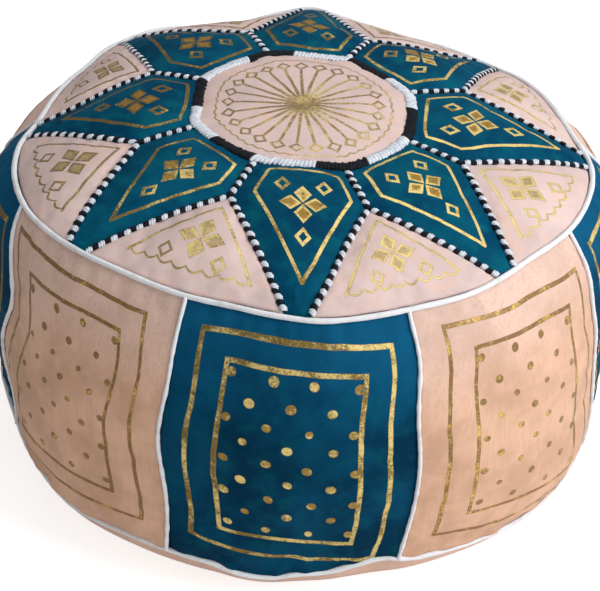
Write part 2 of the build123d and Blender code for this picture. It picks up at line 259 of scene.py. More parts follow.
@dataclass(frozen=True)
class Stamp:
    """Foil tools pressed by hand, in millimetres on the flat leather."""

    u: Wire
    v: Wire

    def line(self, start: tuple[float, float], end: tuple[float, float], width: float) -> Wire:
        """Press a straight line.

        Args:
            start: Its first end.
            end: Its last end.
            width: Its width.

        Returns:
            1 on the line and 0 off it.
        """
        run = (end[0] - start[0], end[1] - start[1])
        square = run[0] ** 2 + run[1] ** 2
        from_u = self.u - start[0]
        from_v = self.v - start[1]
        share = ((from_u * run[0] + from_v * run[1]) / square).upper(0.0).lower(1.0)
        off_u = from_u - share * run[0]
        off_v = from_v - share * run[1]
        away = (off_u * off_u + off_v * off_v).root()
        return away.within(width / 2, 0.25)

    def rhombus(self, middle: tuple[float, float], reach: tuple[float, float], wall: float = 0.0) -> Wire:
        """Press a rhombus, filled or as an outline.

        Args:
            middle: Its centre.
            reach: Half its length along u and along v.
            wall: The width of the outline, or 0 for a filled one.

        Returns:
            1 on the foil and 0 off it.
        """
        off = self.gauge(middle, reach)
        edge = 0.35 / min(reach)
        inside = off.within(1, edge)
        if not wall:
            return inside
        inner = 1 - wall / min(reach)
        return inside * off.ramp(inner - edge, inner + edge)

    def gauge(self, middle: tuple[float, float], reach: tuple[float, float]) -> Wire:
        """Return 0 at the middle of a rhombus, rising to 1 on its edges."""
        return abs(self.u - middle[0]) / reach[0] + abs(self.v - middle[1]) / reach[1]

    def flower(self, middle: tuple[float, float]) -> Wire:
        """Press four rhombi round a point, each darker inside with a small dark middle.

        Args:
            middle: The middle of the four.

        Returns:
            1 on the foil and 0 off it.
        """
        spread, long_reach, short_reach = 9.9, 9.3, 7.3
        petals = []
        for step_u, step_v in ((1, 0), (-1, 0), (0, 1), (0, -1)):
            centre = (middle[0] + spread * step_u, middle[1] + spread * step_v)
            off = self.gauge(centre, (long_reach, short_reach) if step_u else (short_reach, long_reach))
            foil, border, dot = 1 - off.ramp(0.94, 1.04), off.ramp(0.5, 0.82), 1 - off.ramp(0.1, 0.26)
            petals.append(foil * (0.62 + 0.38 * border) * (1 - 0.5 * dot))
        return reduce(Wire.upper, petals)


@dataclass(frozen=True)
class SunburstTooling:
    """Rays that run from a solid hub to small rhombi, inside a scalloped ring."""

    rays: int = 25
    hub: float = 5.0
    ray_end: float = 58.5
    ray_width: float = 2.5
    rhombus_radius: float = 64.8
    rhombus_reach: tuple[float, float] = (6.2, 7.0)
    ring_radius: float = 74.6
    ring_width: float = 1.0
    scallop: float = 1.7

    def mask(self, u: Wire, v: Wire) -> Wire:
        """Return 1 on the foil, from places in millimetres about the middle."""
        radius = (u * u + v * v).root()
        share = v.turn_from(u) * (self.rays / (2 * pi))
        off = abs((share.fraction() - 0.5) * (2 * pi / self.rays)) * radius
        taper = radius.ramp(0.0, self.ray_end) * 0.45
        ray = (1 - (off + taper).ramp(self.ray_width / 2, self.ray_width / 2 + 0.6))
        ray = ray * radius.within(self.ray_end, 0.5)
        hub = radius.within(self.hub, 1.5)
        reach_r, reach_t = self.rhombus_reach
        gauge = abs(radius - self.rhombus_radius) / reach_r + off / reach_t
        rhombus = gauge.ramp(0.52, 0.64) * (1 - gauge.ramp(0.96, 1.08))
        wave = abs((share * (2 * pi)).sine()) * self.scallop
        ring = 1 - abs(radius - self.ring_radius - wave).ramp(self.ring_width / 2, self.ring_width / 2 + 0.4)
        return ray.upper(hub).upper(rhombus).upper(ring * 0.8)


@dataclass(frozen=True)
class PetalTooling:
    """A five-sided frame with a flower and three small rhombi."""

    start: tuple[float, float] = (99.5, 27.5)
    shoulder: tuple[float, float] = (128.8, 37.5)
    tip: float = 208.0
    width: float = 2.8
    flower_at: float = 139.5
    small_at: tuple[tuple[float, float], ...] = ((120.0, 16.6), (120.0, -16.6), (170.5, 0.0))
    small_reach: tuple[float, float] = (8.6, 6.8)
    small_wall: float = 3.4

    def mask(self, u: Wire, v: Wire) -> Wire:
        """Return 1 on the foil, from places in millimetres along and across the petal."""
        side, whole = Stamp(u, abs(v)), Stamp(u, v)
        corners = ((self.start[0], 0.0), self.start, self.shoulder, (self.tip, 0.0))
        lines = [side.line(start, end, self.width) for start, end in zip(corners, corners[1:])]
        small = [whole.rhombus(middle, self.small_reach, self.small_wall) for middle in self.small_at]
        return reduce(Wire.upper, [*lines, *small, whole.flower((self.flower_at, 0.0))])


@dataclass(frozen=True)
class TriangleTooling:
    """Two straight lines and a scalloped base, with a flower and two small squares."""

    apex: float = 157.0
    corner: tuple[float, float] = (212.0, 49.6)
    width: float = 2.2
    base_radius: float = 217.6
    base_width: float = 1.1
    scallop_pitch: float = 12.2
    scallop: float = 3.2
    flower_at: float = 191.0
    small_at: tuple[float, float] = (208.0, 21.3)
    small_reach: tuple[float, float] = (7.4, 6.6)
    small_wall: float = 2.6

    def mask(self, u: Wire, v: Wire) -> Wire:
        """Return 1 on the foil, from places in millimetres along and across the triangle."""
        side = Stamp(u, abs(v))
        foil = side.line((self.apex, 0.0), self.corner, self.width)
        radius = (u * u + v * v).root()
        wave = abs((v * (pi / self.scallop_pitch)).sine()) * self.scallop
        base = 1 - abs(radius - self.base_radius - wave + self.scallop / 2).ramp(
            self.base_width / 2, self.base_width / 2 + 0.5
        )
        inside = 1 - abs(v).ramp(self.corner[1] - 2.5, self.corner[1] - 1.5)
        foil = foil.upper(base * inside * 0.9)
        foil = foil.upper(side.rhombus(self.small_at, self.small_reach, self.small_wall))
        return foil.upper(Stamp(u, v).flower((self.flower_at, 0.0)))


@dataclass(frozen=True)
class PanelTooling:
    """Two nested frames round a field of round dots.

    The flat place is given as a share of half the panel's width, and as a height in millimetres.
    """

    outer_share: float = 0.785
    outer_rows: tuple[float, float] = (60.0, 247.0)
    inner_share: float = 0.55
    inner_rows: tuple[float, float] = (79.0, 229.0)
    half_width: float = 90.0
    dot_pitch: tuple[float, float] = (29.6, 33.2)
    dot_rise: float = 4.2
    dot_reach: float = 54.0
    jitter: float = 3.6
    soft: float = 0.3

    def mask(self, u: Wire, v: Wire, width: float, dot: float) -> Wire:
        """Return 1 on the foil.

        Args:
            u: Place across the panel, in millimetres on a panel of standard width.
            v: Height in millimetres.
            width: Width of the frame lines.
            dot: Radius of the dots.
        """
        frames, half = [], width / 2
        for share, (low, high) in ((self.outer_share, self.outer_rows), (self.inner_share, self.inner_rows)):
            wide, tall = share * self.half_width, (high - low) / 2
            across, along = abs(u), abs(v - (low + high) / 2)
            uprights = abs(across - wide).within(half, self.soft) * along.within(tall + half, self.soft)
            levels = abs(along - tall).within(half, self.soft) * across.within(wide + half, self.soft)
            frames.append(uprights.upper(levels))
        return reduce(Wire.upper, [*frames, self.dots(u, v, dot)])

    def dots(self, u: Wire, v: Wire, radius: float) -> Wire:
        """Return 1 on the dots, stamped in two interleaved sets of rows.

        Args:
            u: Place across the panel.
            v: Height.
            radius: Radius of a dot.
        """
        bench, sets = u.bench, []
        for shift in (0.0, 0.5):
            share_u = u / self.dot_pitch[0] + shift
            share_v = (v - self.dot_rise) / self.dot_pitch[1] + shift
            inputs = {0: share_u.floor(), 1: share_v.floor(), 2: shift}
            cell = {"Vector": bench.node("ShaderNodeCombineXYZ", None, inputs)}
            chance = bench.node("ShaderNodeTexWhiteNoise", {"noise_dimensions": "3D"}, cell, "Color")
            aside, along, plump = bench.split(chance, "ShaderNodeSeparateColor")
            off_u = (share_u.fraction() - 0.5) * self.dot_pitch[0] + (aside - 0.5) * self.jitter
            off_v = (share_v.fraction() - 0.5) * self.dot_pitch[1] + (along - 0.5) * self.jitter
            away = (off_u * off_u + off_v * off_v).root()
            reach = radius * 0.85 + plump * (radius * 0.3)
            disc = 1 - (away - reach).ramp(-0.4, 0.4)
            centre = 1 - away.ramp(0.4, 1.8)
            sets.append(disc * (0.78 + 0.2 * plump - 0.12 * centre))
        inside_u = 1 - abs(u).ramp(self.dot_reach - 1.5, self.dot_reach)
        low, high = self.inner_rows
        inside_v = 1 - abs(v - (low + high) / 2).ramp((high - low) / 2 - 2.0, (high - low) / 2 - 0.5)
        return reduce(Wire.upper, sets) * inside_u * inside_v


@dataclass(frozen=True)
class Leather:
    """Goat leather, dyed or left natural, with foil pressed into it."""

    name: str
    light: Colour
    dark: Colour
    tint: Colour
    # Foil colours: the bright and dull ones are painted light, the foil where it catches the lamps and where
    # it faces away; the deep one is the darker part of the tooling; the last triple gives the level of the
    # painted glint and its slope per metre towards +X and towards +Y.
    foil_lit: Colour
    foil_shaded: Colour
    foil_deep: Colour
    foil_glint: tuple[float, float, float]
    gloss: float
    # The colour that the side panels take towards the rim, and how much of it: partly fading, partly painted
    # light from above and painted sheen.
    faded_and_lit: Colour
    fade_and_light_share: float = 0.0
    fibres: float = 0.0
    pattern: Pattern = Pattern.PLAIN
    foil_width: float = 3.6
    dot_radius: float = 3.3
    roughness: float = 0.56
    grain: float = 0.00016
    grain_size: float = 0.0016

    def flat_place(self, bench: Bench) -> tuple[Wire, Wire]:
        """Return the place on the flat leather in millimetres, swaying as a hand does."""
        flat = bench.node("ShaderNodeUVMap", {"uv_map": TOOLING_MAP})
        sway = bench.node("ShaderNodeTexNoise", None, {"Vector": flat, "Scale": 28.0, "Detail": 5.0}, "Color")
        centred = bench.node("ShaderNodeVectorMath", {"operation": "SUBTRACT"}, {0: sway, 1: (0.5, 0.5, 0.5)})
        waved = bench.shift(flat, centred, 0.0036)
        across, along, _ = bench.split(waved)
        return across * 1000.0, along * 1000.0

    def foil(self, u: Wire, v: Wire) -> Wire:
        """Return the foil's mask: 1 where it is bright, about 0.6 where it is deep, 0 off it."""
        if self.pattern is Pattern.PANEL:
            return PanelTooling().mask(u, v, self.foil_width, self.dot_radius)
        toolings = {
            Pattern.SUNBURST: SunburstTooling, Pattern.PETAL: PetalTooling, Pattern.TRIANGLE: TriangleTooling,
        }
        return toolings[self.pattern]().mask(u, v)

    def ground(self, bench: Bench, place: Wire, blotch: Wire, height: Wire) -> Wire:
        """Return the colour of the leather, paler towards the rim, partly from fading and partly from painted
        light from above and painted sheen.

        Args:
            bench: The material's bench.
            place: The place on the object.
            blotch: Small clouds in the dye.
            height: Height over the floor.
        """
        cloud = bench.noise(place, 0.055, 4.0, 0.6)
        colour = bench.mix(cloud.ramp(0.36, 0.66), self.dark, self.light)
        colour = bench.mix(blotch.ramp(0.48, 0.7) * 0.5, colour, self.tint)
        # Towards the rim: partly fading, partly painted light from above and painted sheen.
        if self.fade_and_light_share:
            colour = bench.mix((height + cloud * 0.06).ramp(0.2, 0.305) * self.fade_and_light_share, colour, self.faded_and_lit)
        if self.fibres:
            inputs = {0: place, 1: (1.0, 1.0, 0.05)}
            drawn = bench.node("ShaderNodeVectorMath", {"operation": "MULTIPLY"}, inputs)
            streaks = bench.noise(drawn, 0.0017, 2.0, 0.6)
            colour = bench.mix(streaks.ramp(0.45, 0.75) * self.fibres, colour, self.dark)
        return colour

    def make(self) -> bpy.types.Material:
        """Build the material."""
        bench = Bench(self.name)
        place = bench.object_place()
        x, y, z = bench.split(place)
        blotch = bench.noise(place, 0.014, 3.0, 0.55)
        colour = self.ground(bench, place, blotch, z)
        pores = bench.cells(place, self.grain_size)
        fine = bench.noise(place, 0.0011, 3.0, 0.6)
        soft = bench.noise(place, 0.009)
        grain = pores * 0.5 + fine * 0.5 + soft * 1.6
        roughness = self.roughness + (blotch - 0.5) * 0.2
        inputs = {
            "Base Color": colour, "Roughness": roughness, "Specular IOR Level": self.gloss,
        }
        if self.pattern is Pattern.PLAIN:
            inputs["Normal"] = bench.bump(grain, self.grain)
            return bench.finish(inputs)
        u, v = self.flat_place(bench)
        mask = self.foil(u, v)
        hatch = ((u + v) * (2 * pi / 2.1)).sine() * 0.5 + 0.5
        wear = bench.noise(place, 0.0035, 3.0, 0.7)
        kept = mask.ramp(0.02, 0.45) * (1 - wear.ramp(0.54, 0.7) * 0.5) * (0.85 + hatch * 0.15)
        # Painted sheen: cloudy stretches of brighter and darker foil, as a gloss shows them; where they are
        # dark the foil also turns to its deep colour.
        sheen_patches = (bench.noise(place, 0.022, 3.0, 0.6) - 0.5) * 4.4
        grit = (bench.noise(place, 0.0018, 1.0, 0.5) - 0.5) * 2.0
        # Painted glint: the foil is lighter towards the lamps at the right and the front, in the sheen
        # stretches and on the ridges of the hatch, with random grit.
        glint_level, glint_to_right, glint_to_back = self.foil_glint
        painted_glint = glint_level + x * glint_to_right + y * glint_to_back + sheen_patches + grit + (hatch - 0.5) * 0.35
        pressed = bench.mix(painted_glint.ramp(-0.15, 1.15), self.foil_shaded, self.foil_lit)
        level = mask + sheen_patches * 0.3 + grit * 0.1
        pressed = bench.mix(level.ramp(0.6, 0.95), self.foil_deep, pressed)
        return bench.finish({
            **inputs,
            "Base Color": bench.mix(kept, colour, pressed),
            "Roughness": roughness - kept * 0.18,
            "Metallic": kept * 0.35,
            "Normal": bench.bump(grain - kept * 2.2, self.grain),
        })


@dataclass(frozen=True)
class Finish:
    """A finish in two colours, worked out from the place on the object."""

    name: str
    colour: Colour
    shade: Colour

    def surface(self, bench: Bench, place: Wire) -> dict:
        """Return what goes into the surface."""
        raise NotImplementedError

    def make(self) -> bpy.types.Material:
        """Build the material."""
        bench = Bench(self.name)
        return bench.finish(self.surface(bench, bench.object_place()))


@dataclass(frozen=True)
class Piping(Finish):
    """White leather piping, a little soiled."""

    name: str = "white_piping"
    colour: Colour = (0.85, 0.86, 0.89)
    shade: Colour = (0.56, 0.53, 0.53)

    def surface(self, bench: Bench, place: Wire) -> dict:
        """Return what goes into the surface."""
        cloud = bench.noise(place, 0.018, 4.0, 0.6)
        creases = bench.noise(place, 0.0014, 3.0, 0.6) * 0.4 + bench.noise(place, 0.006)
        return {
            "Base Color": bench.mix(cloud.ramp(0.5, 0.75) * 0.6, self.colour, self.shade),
            "Roughness": 0.42 + cloud * 0.2,
            "Normal": bench.bump(creases, 0.0006),
            "Specular IOR Level": 0.3,
        }


@dataclass(frozen=True)
class Thread(Finish):
    """Flat lacing thread in one colour, clouded into a second, which for the white thread is painted shade.
    """

    roughness: float = 0.5

    def surface(self, bench: Bench, place: Wire) -> dict:
        """Return what goes into the surface."""
        cloud = bench.noise(place, 0.004, 3.0, 0.6)
        fibres = bench.noise(place, 0.0007, 2.0, 0.6)
        return {
            "Base Color": bench.mix(cloud.ramp(0.4, 0.7), self.colour, self.shade),
            "Roughness": self.roughness + fibres * 0.15,
            "Normal": bench.bump(fibres + cloud * 0.5, 0.0004),
            "Specular IOR Level": 0.18,
        }


@dataclass(frozen=True)
class Cloth(Finish):
    """Plain woven cloth, as in the liner and the zip's tapes."""

    thread_pitch: float = 0.001

    def surface(self, bench: Bench, place: Wire) -> dict:
        """Return what goes into the surface."""
        x, y, z = bench.split(place)
        run = 2 * pi / self.thread_pitch
        weave = (x * run).sine() * ((y + z) * run).sine()
        cloud = bench.noise(place, 0.03, 3.0, 0.6)
        # The colour is darker where the weave lies low: painted shade between the threads, over random
        # clouds.
        colour = bench.mix((weave * 0.2 + cloud).ramp(0.25, 0.75), self.shade, self.colour)
        normal = bench.bump(weave * 0.5 + 0.5, self.thread_pitch / 3)
        return {"Base Color": colour, "Roughness": 0.9, "Normal": normal, "Sheen Weight": 0.15}


@dataclass(frozen=True)
class Brass(Finish):
    """Plain brass of the zip, dulled by handling."""

    name: str = "zip_brass"
    colour: Colour = (0.72, 0.52, 0.24)
    shade: Colour = (0.40, 0.28, 0.12)

    def surface(self, bench: Bench, place: Wire) -> dict:
        """Return what goes into the surface."""
        cloud = bench.noise(place, 0.006, 4.0, 0.6)
        colour = bench.mix(cloud.ramp(0.4, 0.65), self.colour, self.shade)
        scratched = bench.bump(bench.noise(place, 0.0005, 2.0, 0.6), 0.00008)
        return {"Base Color": colour, "Roughness": 0.26 + cloud * 0.25, "Metallic": 0.95, "Normal": scratched}


@dataclass(frozen=True)
class Waste(Finish):
    """Packed cotton waste of the filling."""

    name: str = "cotton_waste"
    colour: Colour = (0.72, 0.68, 0.60)
    shade: Colour = (0.42, 0.40, 0.38)

    def surface(self, bench: Bench, place: Wire) -> dict:
        """Return what goes into the surface."""
        tufts = bench.noise(place, 0.012, 5.0, 0.7)
        # The colour is darker where the tufts lie low: painted shade in their hollows.
        colour = bench.mix(tufts.ramp(0.4, 0.6), self.shade, self.colour)
        normal = bench.bump(tufts, 0.006)
        return {"Base Color": colour, "Roughness": 0.95, "Normal": normal, "Sheen Weight": 0.2}


class Workshop:
    """Makes each finish once."""

    def __init__(self) -> None:
        """Start with no finish made."""
        self.made: dict[str, bpy.types.Material] = {}

    def take(self, finish: Leather | Finish) -> bpy.types.Material:
        """Return the material of a finish.

        Args:
            finish: The finish.

        Returns:
            Its material, made the first time it is asked for.
        """
        if finish.name not in self.made:
            self.made[finish.name] = finish.make()
        return self.made[finish.name]


# Each palette's foil colours and foil glint hold painted light: the foil lit by the lamps and facing away,
# brighter to the right and the front.
BLUE = {
    "foil_lit": (0.92, 0.71, 0.26), "foil_shaded": (0.20, 0.13, 0.03), "foil_deep": (0.42, 0.24, 0.045),
    "gloss": 0.02,
}
BLUE_TOP = {
    "light": (0.002, 0.094, 0.165), "dark": (0.001, 0.052, 0.112), "tint": (0.002, 0.125, 0.160),
    "faded_and_lit": (0.003, 0.1, 0.2), "foil_glint": (0.4, 5.0, -3.5), **BLUE,
}
BLUE_SIDE = {
    "light": (0.002, 0.064, 0.132), "dark": (0.001, 0.032, 0.072), "tint": (0.002, 0.085, 0.112),
    "faded_and_lit": (0.006, 0.115, 0.245), "foil_glint": (-0.4, 3.0, -3.5), **BLUE,
}
NATURAL_TOP = {
    "light": (0.79, 0.60, 0.56), "dark": (0.68, 0.52, 0.49), "tint": (0.82, 0.53, 0.42),
    "foil_lit": (0.82, 0.64, 0.23), "foil_shaded": (0.26, 0.165, 0.06), "foil_deep": (0.46, 0.34, 0.14),
    "faded_and_lit": (0.80, 0.60, 0.55), "foil_glint": (0.3, 5.0, -3.0), "gloss": 0.16,
}
NATURAL_SIDE = {
    "light": (0.83, 0.51, 0.35), "dark": (0.64, 0.38, 0.25), "tint": (0.80, 0.48, 0.35),
    "foil_lit": (0.86, 0.58, 0.13), "foil_shaded": (0.25, 0.135, 0.04), "foil_deep": (0.30, 0.17, 0.05),
    "faded_and_lit": (0.82, 0.66, 0.64), "foil_glint": (-0.75, 0.6, -3.5), "gloss": 0.16,
}


@dataclass(frozen=True)
class Ripple:
    """A smooth wander round the cover, from a few waves whose numbers and phases are chosen by seed."""

    reach: float
    seed: int
    waves: tuple[int, ...] = (2, 3, 5, 7, 11)

    def at(self, turn: float | np.ndarray) -> float | np.ndarray:
        """Return the wander at a turn in degrees."""
        phases = np.random.default_rng(self.seed).uniform(0, 2 * pi, len(self.waves))
        total = 0.0
        for wave, phase in zip(self.waves, phases):
            total = total + np.sin(np.radians(turn) * wave + phase)
        return self.reach * total / len(self.waves) ** 0.5


def smooth_step(share: np.ndarray) -> np.ndarray:
    """Rise smoothly from 0 at 0 to 1 at 1."""
    held = np.clip(share, 0, 1)
    return held * held * (3 - 2 * held)


def eased(place: float | np.ndarray, places: Sequence[float], values: Sequence[float], width: float,
          period: float | None = 360) -> np.ndarray:
    """Read a table with its corners eased.

    Args:
        place: Where it is read.
        places: Its places: turns in degrees, unless there is no period.
        values: Its values.
        width: How far the easing takes to each side.
        period: Where it joins its own start, or None.

    Returns:
        The eased values.
    """
    total = 0.0
    for share in (-1, -0.5, 0, 0.5, 1):
        total = total + np.interp(np.asarray(place) + share * width, places, values, period=period)
    return total / 5


@dataclass(frozen=True)
class CoverForm:
    """The shape of the stuffed cover: crown, rim, bulge and foot."""

    rim_radius: float = 0.235
    rim_height: float = 0.265
    crown_height: float = 0.039
    crown_power: float = 2.7
    bulge_radius: float = 0.275
    bulge_height: float = 0.154
    foot_radius: float = 0.266
    foot_height: float = 0.031
    base_flat_radius: float = 0.226
    seam_draw: float = 0.006
    panel_angles: tuple[float, ...] = (41.5, 39.6, 34.15, 34.15, 34.25, 34.2)

    def crown(self, radius: float | np.ndarray) -> float | np.ndarray:
        """Return the height of the top at a distance from the middle."""
        return self.rim_height + self.crown_height * (1 - (radius / self.rim_radius) ** self.crown_power)

    def crown_slope(self, radius: float) -> float:
        """Return the rise of the top per unit of radius."""
        share = (radius / self.rim_radius) ** (self.crown_power - 1)
        return -self.crown_height / self.rim_radius * self.crown_power * share

    def side_radius(self, height: float | np.ndarray, bulge: float) -> float | np.ndarray:
        """Return the distance of the side from the axis.

        Args:
            height: Height over the floor.
            bulge: Radius at the widest height.

        Returns:
            The radius at the height.
        """
        high = np.asarray(height) > self.bulge_height
        end_radius = np.where(high, self.rim_radius, self.foot_radius)
        end_height = np.where(high, self.rim_height, self.foot_height)
        inset = bulge - end_radius
        arc = (inset ** 2 + (end_height - self.bulge_height) ** 2) / (2 * inset)
        return bulge - arc + np.sqrt(arc ** 2 - (height - self.bulge_height) ** 2)

    @property
    def seam_bulge(self) -> float:
        """Radius of the drawn-in seams at the widest height."""
        return self.bulge_radius - self.seam_draw

    @property
    def panel_round(self) -> tuple[float, ...]:
        """Angle of each side panel, from the front one round by the right."""
        return self.panel_angles + self.panel_angles[-2:0:-1]

    def seam_turns(self) -> list[float]:
        """Turn of the seam after each side panel."""
        turn = -self.panel_angles[0] / 2
        turns = []
        for angle in self.panel_round:
            turn += angle
            turns.append(turn)
        return turns


@dataclass(frozen=True)
class Wander:
    """How the seams of a hand-sewn cover stray from their true lines."""

    foot_turns: tuple[float, ...] = (
        -180, -150, -120, -95, -75, -62, -52, -40, -28, -19, -12, -8, -3, 3, 8, 13, 17, 22, 35, 50, 62, 80,
        105, 130, 155, 180,
    )
    foot_rises: tuple[float, ...] = (
        2, -3, 4, -2, 3, 6, 9, 3, 10, 9, 6, -3, -7, -3, -2, 6, 11, 4, 0, -4, 0, 5, -3, 4, -2, 2,
    )
    seam_heights: tuple[float, ...] = (0.03, 0.06, 0.09, 0.12, 0.145, 0.175, 0.2, 0.23, 0.265)
    seam_shifts: tuple[tuple[int, tuple[float, ...]], ...] = (
        (0, (-0.9, 0.0, 0.8, 1.1, 0.9, 0.1, 0.1, 0.9, -0.4)),
        (1, (9.0, 9.0, 8.5, 7.5, 6.0, 4.4, 2.8, 3.6, 2.2)),
        (8, (-5.0, -5.0, -5.0, -4.0, -2.5, 1.5, 4.1, 0.8, -3.8)),
        (9, (0.5, 1.0, 0.7, -0.4, -1.2, -0.7, 0.0, -0.1, 0.2)),
    )
    stray: float = 0.7

    def foot_rise(self, turn: float | np.ndarray) -> float | np.ndarray:
        """Return how far the foot seam rises at a turn."""
        return eased(turn, self.foot_turns, self.foot_rises, 1.6) * MM

    def seam_shift(self, number: int, height: float | np.ndarray) -> float | np.ndarray:
        """Return how far a side seam strays, in degrees.

        Args:
            number: The seam after this panel, counted from 0.
            height: Height over the floor.

        Returns:
            The stray, positive towards the right.
        """
        for seam, shifts in self.seam_shifts:
            if seam == number:
                return eased(height, self.seam_heights, shifts, 0.012, None)
        phases = np.random.default_rng(40 + number).uniform(0, 2 * pi, 3)
        total = 0.0
        for share, phase in zip((1.0, 1.9, 3.1), phases):
            total = total + np.sin(np.asarray(height) / 0.25 * pi * share + phase) / share
        return total * self.stray

@dataclass(frozen=True)
class Slump:
    """How the stuffed cover has settled in use, and how a star cut by eye strays from a true one.

    Lengths in the tables are millimetres. Each tug is a place on the top, and how far the leather
    there lies from its true place.
    """

    rim_turns: tuple[float, ...] = (
        -180, -171, -162, -152, -143, -131, -127, -120, -110, -100, -95, -91, -86, -76, -68, -61, -53, -45,
        -36, -28, -21, -12, -6, -2, 4, 11, 22, 34, 50, 57, 64, 73, 81, 86, 90, 96, 102, 110, 125, 133, 145,
        157, 166, 174,
    )
    rim_outs: tuple[float, ...] = (
        3, -2, -6, -5, 0, 1, -1, -8, -9, -10, -9, -6, 1, 6, 8, 9, 7, 3,
        -3, -4, -3.5, -5, -2, 0, 4, 2, -2, -1, -4, -1, 2, 3.5, 4, 3, 1, -4, -6, -5, -2.5, -5, -5,
        -6, -4, -1,
    )
    lift_turns: tuple[float, ...] = (-180, -171, -162, -152, -143, -90, 0, 110, 125, 133, 145, 157, 166, 174)
    lifts: tuple[float, ...] = (5, -1, -7, -4, 0, 0, 0, 0, -2, -4, -6, -8, -5, 0)
    foot_turns: tuple[float, ...] = (
        -180, -98, -86, -72, -65, -50, -40, -25, -12, -5, 0, 5, 12, 20, 30, 45, 55, 65, 78, 90, 100,
    )
    foot_outs: tuple[float, ...] = (0, 2, 0, -9, -8, 2, 5, 6, 5, 1, -4, -6, -4, 0, 0, 5, 8, 7, 2, 5, 0)
    shoulder_turns: tuple[float, ...] = (
        -180, -140, -128, -118, -105, -95, -86, -76, -66, -58, 75, 84, 92, 100, 110, 120, 130, 140,
    )
    shoulder_outs: tuple[float, ...] = (0, 1, 5, 8, 10, 12, 10, 6, 2, 0, 0, 4, 9, 10, 9, 4, 1, 0)
    ring_turns: tuple[float, ...] = (
        -180, -165, -157, -147, -137, -124, -114, -100, -84, -71, -62, -54, -39, -27, -17, -8, 9, 15, 21, 36,
        47, 68, 75, 95, 107, 119, 133, 146, 157, 163, 175,
    )
    ring_outs: tuple[float, ...] = (
        -7, -4.5, -2, -4, -2.5, 0, 3, -2, -2, 4, 1, 0, 1.5, 4, 1, -1, -3, 0, 4, 1,
        1, 3, 0, -2, -1, -3, -4.5, -4.5, 0.5, -4, -6.5,
    )
    tugs: tuple[tuple[float, float, float, float], ...] = (
        (-131, 54, -2.7, 3.0), (-54, 131, -1.6, 8.0), (54, 131, -2.5, 3.0), (131, 54, 1.0, -1.0),
        (131, -54, -6.0, -8.0), (54, -131, -3.8, -2.3), (-131, -54, -1.8, -1.3), (-54, -131, -1.8, 6.0),
        (0, 0, -3.8, 0.3), (0, -230, 0.4, -1.7), (-162, -162, -3.0, 2.8), (162, -162, -5.0, -5.5),
        (230, 0, 1.0, -4.5), (168, 157, -1.0, -6.0), (-168, 157, -4.0, 3.0), (-230, 0, 0.0, 0.0),
        (0, 230, 0.0, 4.0),
    )
    tug_reach: float = 38.0
    easing: float = 2.5
    low_easing: float = 4.0

    def settled(self, points: np.ndarray, top: bool) -> np.ndarray:
        """Return where points come to lie.

        Args:
            points: Places on the true form, in metres, one in each row.
            top: Whether they belong to the star or its lacing.

        Returns:
            The settled places.
        """
        moved = points + self._tugged(points) if top else points.copy()
        radius = np.hypot(moved[:, 0], moved[:, 1])
        turn = np.degrees(np.arctan2(moved[:, 0], -moved[:, 1]))
        high = moved[:, 2]
        near_rim = smooth_step((high - 0.15) / 0.105) * smooth_step((radius - 0.13) / 0.1)
        near_foot = np.exp(-((high - 0.058) / 0.05) ** 2) * smooth_step((radius - 0.18) / 0.06)
        near_ring = np.exp(-((radius - 0.0935) / 0.02) ** 2) * top
        near_shoulder = np.exp(-((high - 0.240) / 0.017) ** 2) * smooth_step((radius - 0.23) / 0.012)
        out = 0.0
        for turns, outs, width, near in (
            (self.rim_turns, self.rim_outs, self.easing, near_rim),
            (self.foot_turns, self.foot_outs, self.low_easing, near_foot),
            (self.ring_turns, self.ring_outs, self.easing, near_ring),
            (self.shoulder_turns, self.shoulder_outs, self.low_easing, near_shoulder),
        ):
            out = out + eased(turn, turns, outs, width) * near
        level = moved[:, :2] / np.maximum(radius, 1e-9)[:, None]
        moved[:, :2] += level * out[:, None] * MM
        moved[:, 2] += eased(turn, self.lift_turns, self.lifts, self.easing) * near_rim * MM
        return moved

    def _tugged(self, points: np.ndarray) -> np.ndarray:
        """Return how far the star's leather strays at each point, along the rim only where it meets it."""
        weights, shift = 0.0, np.zeros_like(points)
        for x, y, by_x, by_y in self.tugs:
            away = (points[:, 0] / MM - x) ** 2 + (points[:, 1] / MM - y) ** 2
            weight = np.exp(-away / (2 * self.tug_reach ** 2)) + 1e-9
            weights = weights + weight
            shift[:, 0] += weight * by_x
            shift[:, 1] += weight * by_y
        shift = shift / weights[:, None] * MM
        radius = np.hypot(points[:, 0], points[:, 1])
        level = np.zeros_like(points)
        level[:, :2] = points[:, :2] / np.maximum(radius, 1e-9)[:, None]
        outward = np.sum(shift * level, axis=1) * smooth_step((radius - 0.185) / 0.045)
        return shift - level * outward[:, None]


def direction(turn: float | np.ndarray) -> np.ndarray:
    """Return the level direction of a turn in degrees from the front."""
    angle = np.radians(turn) - pi / 2
    return np.stack([np.cos(angle), np.sin(angle), np.zeros_like(angle)], axis=-1)


def cloud_at(points: np.ndarray, size: float, seed: float) -> np.ndarray:
    """Read a smooth cloud at each point.

    Args:
        points: Places, one in each row.
        size: Size of one cloud.
        seed: Moves the cloud to another place.

    Returns:
        Values of about -1 to 1.
    """
    flat = points.reshape(-1, 3) / size + seed
    values = np.array([noise.noise(Vector(point)) for point in flat])
    return values.reshape(points.shape[:-1])


def stand(name: str, data: bpy.types.ID) -> bpy.types.Object:
    """Put a new object in the scene."""
    made = bpy.data.objects.new(name, data)
    bpy.context.scene.collection.objects.link(made)
    return made


